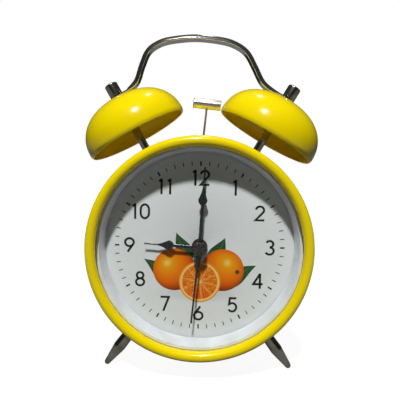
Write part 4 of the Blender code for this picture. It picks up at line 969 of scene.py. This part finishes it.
leaves = [blade(np.array(base) * MM, np.array(tip) * MM, leaf_shape(width), 0.008 * MM, 0.004 * MM,
                curve=bow * MM) for base, tip, width, bow in LEAVES]
add("printed_leaves", skin("printed_leaves", *leaves, marked=True), LEAF, "clock", "printed_dial", crease=30)


def film(name, centre, radius, height, finish):
    """A disc of ink a hundredth of a millimetre thick, at a height above the card."""
    thin = 0.008 * MM
    top = height + thin
    rings = [(0, top), (radius * 0.5, top), (radius, top), (radius, height), (0, height)]
    points = lathe(rings, (centre[0], DIAL_Y, CENTRE_Z + centre[1]), -BACKWARDS, 128)
    return add(name, skin(name, points), finish, "clock", "printed_dial", crease=30)


LIGHT_ON_LEFT = (-0.34, 0.30, 0.89)
LIGHT_ON_RIGHT = (0.22, 0.36, 0.905)
FRUIT_R = 10.4 * MM
for name, centre, light in (("printed_left_orange", (-12.0 * MM, -11.6 * MM), LIGHT_ON_LEFT),
                            ("printed_right_orange", (11.4 * MM, -11.6 * MM), LIGHT_ON_RIGHT)):
    film(name, centre, FRUIT_R, 0.014 * MM, orange_ink(name + "_ink", centre, FRUIT_R, light))
SLICE_C, SLICE_R = (0.4 * MM, -17.5 * MM), 10.2 * MM
film("printed_half_orange", SLICE_C, SLICE_R, 0.024 * MM, slice_ink("half_orange_ink", SLICE_C, SLICE_R))
scar = Finish("scar_ink", Roughness=0.6)
scar.set(Base_Color=scar.mixed(scar.noise(3000, 2), (0.02, 0.018, 0.006), (0.16, 0.07, 0.012)))
film("printed_stem_scar", (18.6 * MM, -12.3 * MM), 1.05 * MM, 0.024 * MM, scar.material)

# %% [markdown]
# ## Hands
# The hands are stamped from thin sheet, so they are flat with a softened edge, and a collar turned on each
# one grips its tube. A spade hand is a width along a line: an even stem, a swelling, and a thin point.


# %% Hands
def spade(length, stem, start, wide_at, wide, end, point):
    """Half width along the hand, as a function of the share of the way from the centre."""
    def half_width(t):
        at = t * length
        keys = np.array((0, start, (start + wide_at) / 2, wide_at))
        rise = np.interp(at, keys, (stem / 2, stem / 2, wide * 0.42, wide / 2))
        fall = point / 2 + (wide - point) / 2 * np.clip(1 - (at - wide_at) / (end - wide_at), 0, 1)**1.6
        return np.where(at <= wide_at, rise, fall)
    return half_width


def taper(root, point):
    return lambda t: (root + (point - root) * t) / 2


def hand(name, node, body, angle, length, half_width, hub, bore, stations=90):
    """A blade from inside the collar to the tip, and the collar as a turned ring."""
    low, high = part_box(node)
    thick = high.y - low.y
    up = DIAL_Y - high.y
    ray = np.array((math.sin(angle), math.cos(angle)))
    strip = blade(ray * 0, ray * length, half_width, thick, up, 0.12 * MM, stations)
    start = hub * 0.8
    keep = np.linalg.norm(strip[:, 0] * (1, 0, 1) - (0, 0, CENTRE_Z), axis=1) >= start
    keep[0] = False
    first = int(np.argmax(keep))
    root = strip[first:first + 1].copy()
    root[..., 0], root[..., 2] = ray[0] * start, CENTRE_Z + ray[1] * start
    strip = np.concatenate([root, strip[first:]])
    collar = rounded([(bore, up), (hub, up), (hub, up + thick), (bore, up + thick)], 0.1 * MM, 4, closed=True)
    ring = lathe(collar, (0, DIAL_Y, CENTRE_Z), -BACKWARDS, 96)
    mesh = joined(skin(name, strip), skin(name + "_collar", ring, along=True))
    return add(name, mesh, LACQUER, body, "black_lacquer", node, crease=30)


HOUR_SHAPE = spade(26.5 * MM, 1.4 * MM, 12.2 * MM, 14.8 * MM, 4.9 * MM, 20.3 * MM, 0.8 * MM)
MINUTE_SHAPE = spade(38.4 * MM, 1.5 * MM, 20.3 * MM, 22.9 * MM, 4.4 * MM, 29.5 * MM, 0.8 * MM)
hand("alarm_pointer", "alarm_hand", "alarm_arbor", math.radians(184.0), 12.4 * MM, taper(3.4 * MM, 1.4 * MM),
     3.2 * MM, 2.65 * MM, 30)
hand("hour_spade", "hour_hand", "hour_arbor", math.radians(273.5), 26.5 * MM, HOUR_SHAPE, 3.5 * MM, 2.0 * MM)
hand("minute_spade", "minute_hand", "minute_arbor", math.radians(3.1), 38.4 * MM, MINUTE_SHAPE, 3.3 * MM,
     1.4 * MM)
hand("second_needle", "second_hand", "seconds_arbor", math.radians(185.3), 36.2 * MM,
     taper(0.95 * MM, 0.85 * MM), 2.0 * MM, 0.75 * MM, 30)

cap_low, cap_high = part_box("hub_cap")
cap_r = (cap_high.x - cap_low.x) / 2
cap = rounded([(0, depth_of(cap_low.y)), (cap_r, depth_of(cap_low.y)), (cap_r, depth_of(cap_high.y)),
               (0, depth_of(cap_high.y))], (0, 0.45 * MM, 0.05 * MM, 0), 8)
add_turned("turned_cap", cap, INTO_CASE, (HUB, "seconds_arbor", "dark_chrome"), "hub_cap", steps=96)

# %% [markdown]
# ## Back: cover, knobs, switch, door and screws
# Behind, the clock is closed by one moulded cover. It starts as a turned disc with a bead and two fine
# grooves, and its openings are cut: a well for the cell, a slot for the switch, holes for the setting shafts.


# %% Back cover
def block(name, low, high, radius, steps=5):
    """A box with rounded upright edges: a rounded outline carried between two depths."""
    corners = [(low[0], low[2]), (high[0], low[2]), (high[0], high[2]), (low[0], high[2])]
    outline = rounded(corners, radius, steps, closed=True)
    levels = [(0, low[1]), (1, low[1]), (1, high[1]), (0, high[1])]
    centre = outline.mean(axis=0)
    rows = []
    for share, y in levels:
        flat = centre + (outline - centre) * share
        rows.append(np.stack([flat[:, 0], np.full(len(flat), y), flat[:, 1]], axis=1))
    return skin(name, np.array(rows))


def tool(name, mesh):
    made = bpy.data.objects.new(name, mesh)
    bpy.context.scene.collection.objects.link(made)
    return made


def carve(piece, tools, operation="DIFFERENCE"):
    """Applies Booleans and removes their tools."""
    for other in tools:
        step = piece.modifiers.new(operation.lower(), "BOOLEAN")
        step.operation, step.solver, step.object = operation, "EXACT", other
    graph = bpy.context.evaluated_depsgraph_get()
    mesh = bpy.data.meshes.new_from_object(piece.evaluated_get(graph))
    piece.modifiers.clear()
    piece.data = mesh
    for other in tools:
        bpy.data.objects.remove(other)
    return mesh


cover_low, cover_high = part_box("back_cover")
COVER_R = (cover_high.x - cover_low.x) / 2
COVER_REAR = depth_of(cover_high.y)
COVER_T = 2.0 * MM
door_low, door_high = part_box("battery_door")
switch_low, switch_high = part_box("alarm_switch")
CLEAR = 0.3 * MM


def cover_mesh():
    rear, front, skirt = COVER_REAR, COVER_REAR - COVER_T, COVER_REAR - COVER_T - 5 * MM
    groove = [(r * MM, rear - d * MM) for mid in (41.0, 43.0)
              for r, d in ((mid - 0.35, 0), (mid - 0.3, 0.3), (mid + 0.3, 0.3), (mid + 0.35, 0))]
    profile = [(0, rear), *groove, (COVER_R, rear), (COVER_R, front), (44.7 * MM, front), (44.7 * MM, skirt),
               (43.5 * MM, skirt), (43.5 * MM, front), (0, front)]
    radii = [0] + [0.05 * MM] * len(groove) + [0.7 * MM] + [0.1 * MM] * 5 + [0]
    disc = turned("moulded_back", rounded(profile, radii, 4), *INTO_CASE, 200)
    piece = tool("moulded_back", disc)
    well_low = (door_low.x - CLEAR, FRONT + 29.2 * MM, door_low.z - CLEAR)
    well_high = (door_high.x + CLEAR, FRONT + COVER_REAR + MM, door_high.z + CLEAR)
    side = 1.2 * MM
    tray = tool("tray", block("tray", (well_low[0] - side, well_low[1] - side, well_low[2] - side),
                              (well_high[0] + side, FRONT + front + MM, well_high[2] + side), 1.5 * MM))
    well = tool("well", block("well", well_low, well_high, 0.6 * MM))
    slot_mid = (switch_low.x + switch_high.x) / 2
    neck_z = (switch_low.z + switch_high.z) / 2
    slot = tool("slot", block("slot", (slot_mid - 2.0 * MM, FRONT + front - MM, neck_z - 2.3 * MM),
                              (slot_mid + 2.0 * MM, FRONT + rear + MM, neck_z + 7.3 * MM), 0.4 * MM))
    carve(piece, [tray], "UNION")
    holes = []
    for node, radius, steps in (("time_set_knob", 2.1, 40), ("alarm_set_knob", 2.1, 40),
                                ("left_back_screw", 1.2, 32), ("right_back_screw", 1.2, 32)):
        at = middle(node)
        bore = [(0, front - MM), (radius * MM, front - MM), (radius * MM, rear + MM), (0, rear + MM)]
        holes.append(tool("hole", turned("hole", bore, (at.x, FRONT, at.z), BACKWARDS, steps)))
    mesh = carve(piece, [well, slot, *holes])
    bpy.data.objects.remove(piece)
    return mesh


add("moulded_back", cover_mesh(), BLACK, "clock", "black_plastic", "back_cover", crease=32)


# %% [markdown]
# ## Setting knobs
# Both knobs are moulded, with flutes for the fingers. The flutes are a wave round the knob that is taken off
# its radius, which keeps them soft, as they are on a worn mould.

# %% Knobs
def knob_mesh(name, node):
    """Radius = full radius less a flute, a cosine of sixteen turns; the flutes fade out towards the rounded
    rear edge, and the rear face is dished."""
    low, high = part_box(node)
    at = middle(node)
    full = (high.x - low.x) / 2 + 0.11 * MM
    front, rear = depth_of(low.y), depth_of(high.y)
    dish = rear - 0.5 * MM
    corners = [(1.8 * MM, front), (full, front), (full, rear), (full * 0.62, rear), (full * 0.5, dish),
               (0, dish)]
    side = rounded(corners, np.array((0, 0.4, 1.1, 0.5, 0.4, 0)) * MM, 7)
    side = np.concatenate([[(1.8 * MM, front + 4.8 * MM), (1.8 * MM, front)], side[1:]])
    side = np.concatenate([[(0, front + 4.8 * MM)], side])
    points = lathe(side, (at.x, FRONT, at.z), BACKWARDS, 256)
    centre = np.array((at.x, 0, at.z))
    spoke = (points - centre) * (1, 0, 1)
    angle = np.arctan2(spoke[..., 2], spoke[..., 0])
    share = np.clip((side[:, 0] / full - 0.80) / 0.2, 0, 1)[:, None]
    flute = 0.5 * MM * (0.5 + 0.5 * np.cos(16 * angle))**1.5 * share
    return skin(name, points - spoke / np.maximum(side[:, 0], 1e-9)[:, None, None] * flute[..., None])


for name, node, body in (("time_knob", "time_set_knob", "time_setting"),
                         ("alarm_knob", "alarm_set_knob", "alarm_setting")):
    add(name, knob_mesh(name, node), BLACK, body, "black_plastic", node, crease=38)


# %% [markdown]
# ## Switch, door and screws
# The thumb piece of the switch and the battery door carry fine ridges for grip. The two screws that hold the
# cover have a domed head with a cross.

# %% Switch, door and screws
def slab_with_ridges(name, low, high, radius, ridges, depth):
    """A rounded block whose rear face carries fine ridges, as separate half-round bars across it."""
    bars = []
    for at, start, end in ridges:
        a, b = (start, high[1], at), (end, high[1], at)
        length = np.linalg.norm(np.subtract(b, a))
        bar = rounded([(0, 0), (depth, 0), (depth, length), (0, length)], depth * 0.9, 4)
        bars.append(turned("bar", bar, a, np.subtract(b, a), 20))
    return joined(block(name, low, high, radius), *bars)


pad_low = np.array((switch_low.x, FRONT + COVER_REAR + CLEAR, switch_low.z))
pad_high = np.array((switch_high.x, switch_high.y - 0.3 * MM, switch_high.z))
pad_ridges = [(pad_low[2] + s * MM, pad_low[0] + 0.9 * MM, pad_high[0] - 0.9 * MM)
              for s in (1.5, 2.5, 3.5, 4.5, 5.5)]
neck_at, neck_half = middle("alarm_switch"), np.array((1.7, 0, 2.0)) * MM
neck = block("neck", np.array((neck_at.x, switch_low.y, neck_at.z)) - neck_half,
             np.array((neck_at.x, pad_low[1] + 0.1 * MM, neck_at.z)) + neck_half, 0.3 * MM)
thumb = slab_with_ridges("thumb_switch", pad_low, pad_high, 0.9 * MM, pad_ridges, 0.3 * MM)
add("thumb_switch", joined(thumb, neck), BLACK, "switch", "black_plastic", "alarm_switch", crease=30)

lid_rear = COVER_REAR + 0.4 * MM + FRONT
lid = ((door_low.x, door_low.y, door_low.z), (door_high.x, lid_rear, door_high.z))
grip = [(lid[1][2] - s * MM, -5.0 * MM, 5.0 * MM) for s in (1.4, 2.2, 3.0)]
add("cell_door", slab_with_ridges("cell_door", *lid, 0.8 * MM, grip, 0.35 * MM), BLACK, "door",
    "black_plastic", "battery_door", crease=30)


def screw_mesh(name, node):
    """A domed head with a cross cut into it: where either arm of the cross is nearer than its half width, the
    head is lowered."""
    at = middle(node)
    rear = depth_of(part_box(node)[1].y)
    rings = 22
    radius = np.linspace(0, 1.75 * MM, rings)
    dome = np.stack([radius, rear - 0.35 * MM * (radius / (1.8 * MM))**2], axis=1)
    body = rear * np.array((0, 1)) + np.array([(1.8, -0.55), (1.8, -1), (0.9, -1), (0.9, -5), (0, -5.6)]) * MM
    points = lathe(np.concatenate([dome, body]), (at.x, FRONT, at.z), BACKWARDS, 96)
    x, z = points[..., 0] - at.x, points[..., 2] - at.z
    turn = math.radians(25)
    u, v = np.abs(x * math.cos(turn) + z * math.sin(turn)), np.abs(z * math.cos(turn) - x * math.sin(turn))
    in_arm = (np.minimum(u, v) < 0.24 * MM) & (np.maximum(u, v) < 1.15 * MM)
    points[:rings, :, 1] -= in_arm[:rings] * 0.45 * MM
    return skin(name, points)


for side in ("left", "right"):
    name, node = f"{side}_cross_screw", f"{side}_back_screw"
    add(name, screw_mesh(name, node), ZINC, "clock", "zinc_steel", node, crease=35)

# %% [markdown]
# ## Cell
# The cell behind the door is a steel can in a printed sleeve: rounded ends, a nub at the plus end.

# %% Battery cell
cell = middle("battery_cell")
cell_low, cell_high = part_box("battery_cell")
CELL_R, CELL_HALF = (cell_high.z - cell_low.z) / 2, (cell_high.x - cell_low.x) / 2
NUB_R, can_top = 2.7 * MM, CELL_HALF - 1.3 * MM
can = rounded([(0, CELL_HALF), (NUB_R, CELL_HALF), (NUB_R, can_top), (CELL_R, can_top), (CELL_R, -CELL_HALF),
               (0, -CELL_HALF)], np.array((0, 0.4, 0.2, 0.7, 0.7, 0)) * MM, 6)
add_turned("dry_cell", can, (cell, (1, 0, 0)), (WRAP, "clock", "cell_wrap"), "battery_cell", steps=96)

# %% [markdown]
# ## The pieces that stay
# The inner works are already right in shape, so they keep their meshes and take the finishes above by the
# material slot that the model gives each one.

# %% Finishes for the carried-over pieces
FINISHES = dict(yellow_enamel=ENAMEL, dark_chrome=DARK_CHROME, chrome=CHROME, zinc_steel=ZINC,
                clear_glass=GLASS, white_plastic=WHITE, printed_dial=PAPER, black_lacquer=LACQUER,
                black_plastic=BLACK, gear_plastic=NATURAL, enamelled_copper=COPPER, board_green=BOARD,
                brass=BRASS, black_rubber=RUBBER, cell_wrap=WRAP)
kept = 0
for row in frame["record"]["subparts"]:
    node = frame["nodes"][row["node"]]
    if not node.hide_render:
        node.data.materials.clear()
        node.data.materials.append(FINISHES[row["material_slot"]])
        kept += 1
print(f"{kept} pieces keep their mechanical mesh")

# %% [markdown]
# ## Studio
# A pale floor, a pale surround and one main lamp high in front, for the gloss, the rim's shadow on the dial
# and the shadows of the hands. The eye sees the surround white, but it gives little light, as in a dim room
# with a white sheet behind the clock. A faint panel beside the camera opens the shadows and shows in no
# gloss. A small lamp above gives the bells their second, weaker spot, and a soft panel behind lights the
# back.


# %% Floor, surround and lamps
def floor_paper():
    """Dull paper that shines for the eye: softly under the clock, so that a shadow stays there, and up to
    white further off, where it meets the white surround. In a mirror it shines a tenth as much."""
    made = Finish("floor_paper", Roughness=0.9)
    direct = made.node("ShaderNodeLightPath", out="Is Camera Ray")
    away = made.node("ShaderNodeVectorMath", {"operation": "LENGTH"}, {0: made.spot((0, 0, 0))}, out="Value")
    mirrored = made.node("ShaderNodeLightPath", out="Is Glossy Ray")
    shine = 0.93 + made.smooth(away, 0.06, 0.20) * 0.07
    grain = made.noise(40, 3)
    made.set(Base_Color=made.mixed(grain, (0.10, 0.10, 0.10), (0.08, 0.08, 0.08)))
    made.set(Emission_Color=(1.0, 1.0, 1.0))
    return made.set(Emission_Strength=direct * shine + mirrored * 0.10)


FLOOR_HALF = 3.0
edges = (-FLOOR_HALF, FLOOR_HALF)
floor_points = np.stack(np.meshgrid(edges, edges, (0.0,)), -1).reshape(2, 2, 3)
floor = bpy.data.objects.new("floor", skin("floor", floor_points, around=False))
bpy.context.scene.collection.objects.link(floor)
floor.data.materials.append(floor_paper())

world = bpy.data.worlds.new("studio")
bpy.context.scene.world = world
world.use_nodes = True
sky = Sheet(world.node_tree)
height = sky.node("ShaderNodeSeparateXYZ", (), {0: sky.node("ShaderNodeTexCoord", out="Generated")}, out="Z")
glow = sky.node("ShaderNodeValToRGB", {"stops": [(0.0, (0.008, 0.008, 0.006)), (0.45, (0.009, 0.009, 0.008)),
                                                 (0.60, (0.02, 0.02, 0.019)), (1.0, (0.05, 0.05, 0.05))]},
                {0: height * 0.5 + 0.5})
seen = sky.node("ShaderNodeLightPath", out="Is Camera Ray")
plug(world.node_tree.nodes["Background"].inputs["Color"], sky.mixed(seen, glow, (1.0, 1.0, 1.0)))


def lamp(name, place, aim, size, power, shape="DISK"):
    """An area lamp at a place, turned to a point."""
    data = bpy.data.lights.new(name, "AREA")
    data.shape, data.size, data.energy = shape, size, power
    made = bpy.data.objects.new(name, data)
    bpy.context.scene.collection.objects.link(made)
    made.location = place
    made.rotation_euler = (Vector(aim) - Vector(place)).to_track_quat("-Z", "Y").to_euler()
    return made


AIM = (0, FRONT, CENTRE_Z)
lamp("key", Vector(AIM) + Vector((-0.07, -0.60, 0.83)) * 1.1, AIM, 0.09, 14.0)
front_panel = lamp("front_panel", Vector(AIM) + Vector((0.25, -1.0, -0.05)) * 1.1, AIM, 0.9, 0.16, "SQUARE")
front_panel.visible_glossy = False
lamp("high_lamp", Vector(AIM) + Vector((0.04, 0.30, 1.0)) * 1.2, AIM, 0.06, 1.6)
rear_panel = lamp("rear_panel", Vector(AIM) + Vector((-0.55, 1.15, 0.55)), AIM, 0.8, 9.0, "SQUARE")
rear_panel.visible_glossy = False

# %% [markdown]
# ## Camera
# A close lens, a little above the clock and looking slightly down at it.

# %% Camera
camera = bpy.data.objects.new("camera", bpy.data.cameras.new("camera"))
bpy.context.scene.collection.objects.link(camera)
camera.location = Vector(DIAL_CENTRE) + Vector((1.7, -175.7, 38.9)) * MM
turns = (("Z", 0.56), ("X", 85.07), ("Z", 1.03))
look = Matrix.Identity(3)
for axis, angle in turns:
    look = look @ Matrix.Rotation(math.radians(angle), 3, axis)
camera.rotation_euler = look.to_euler()
camera.data.lens = 35.66
camera.data.clip_start = 0.01
bpy.context.scene.camera = camera
bpy.context.scene.view_settings.view_transform = "Standard"
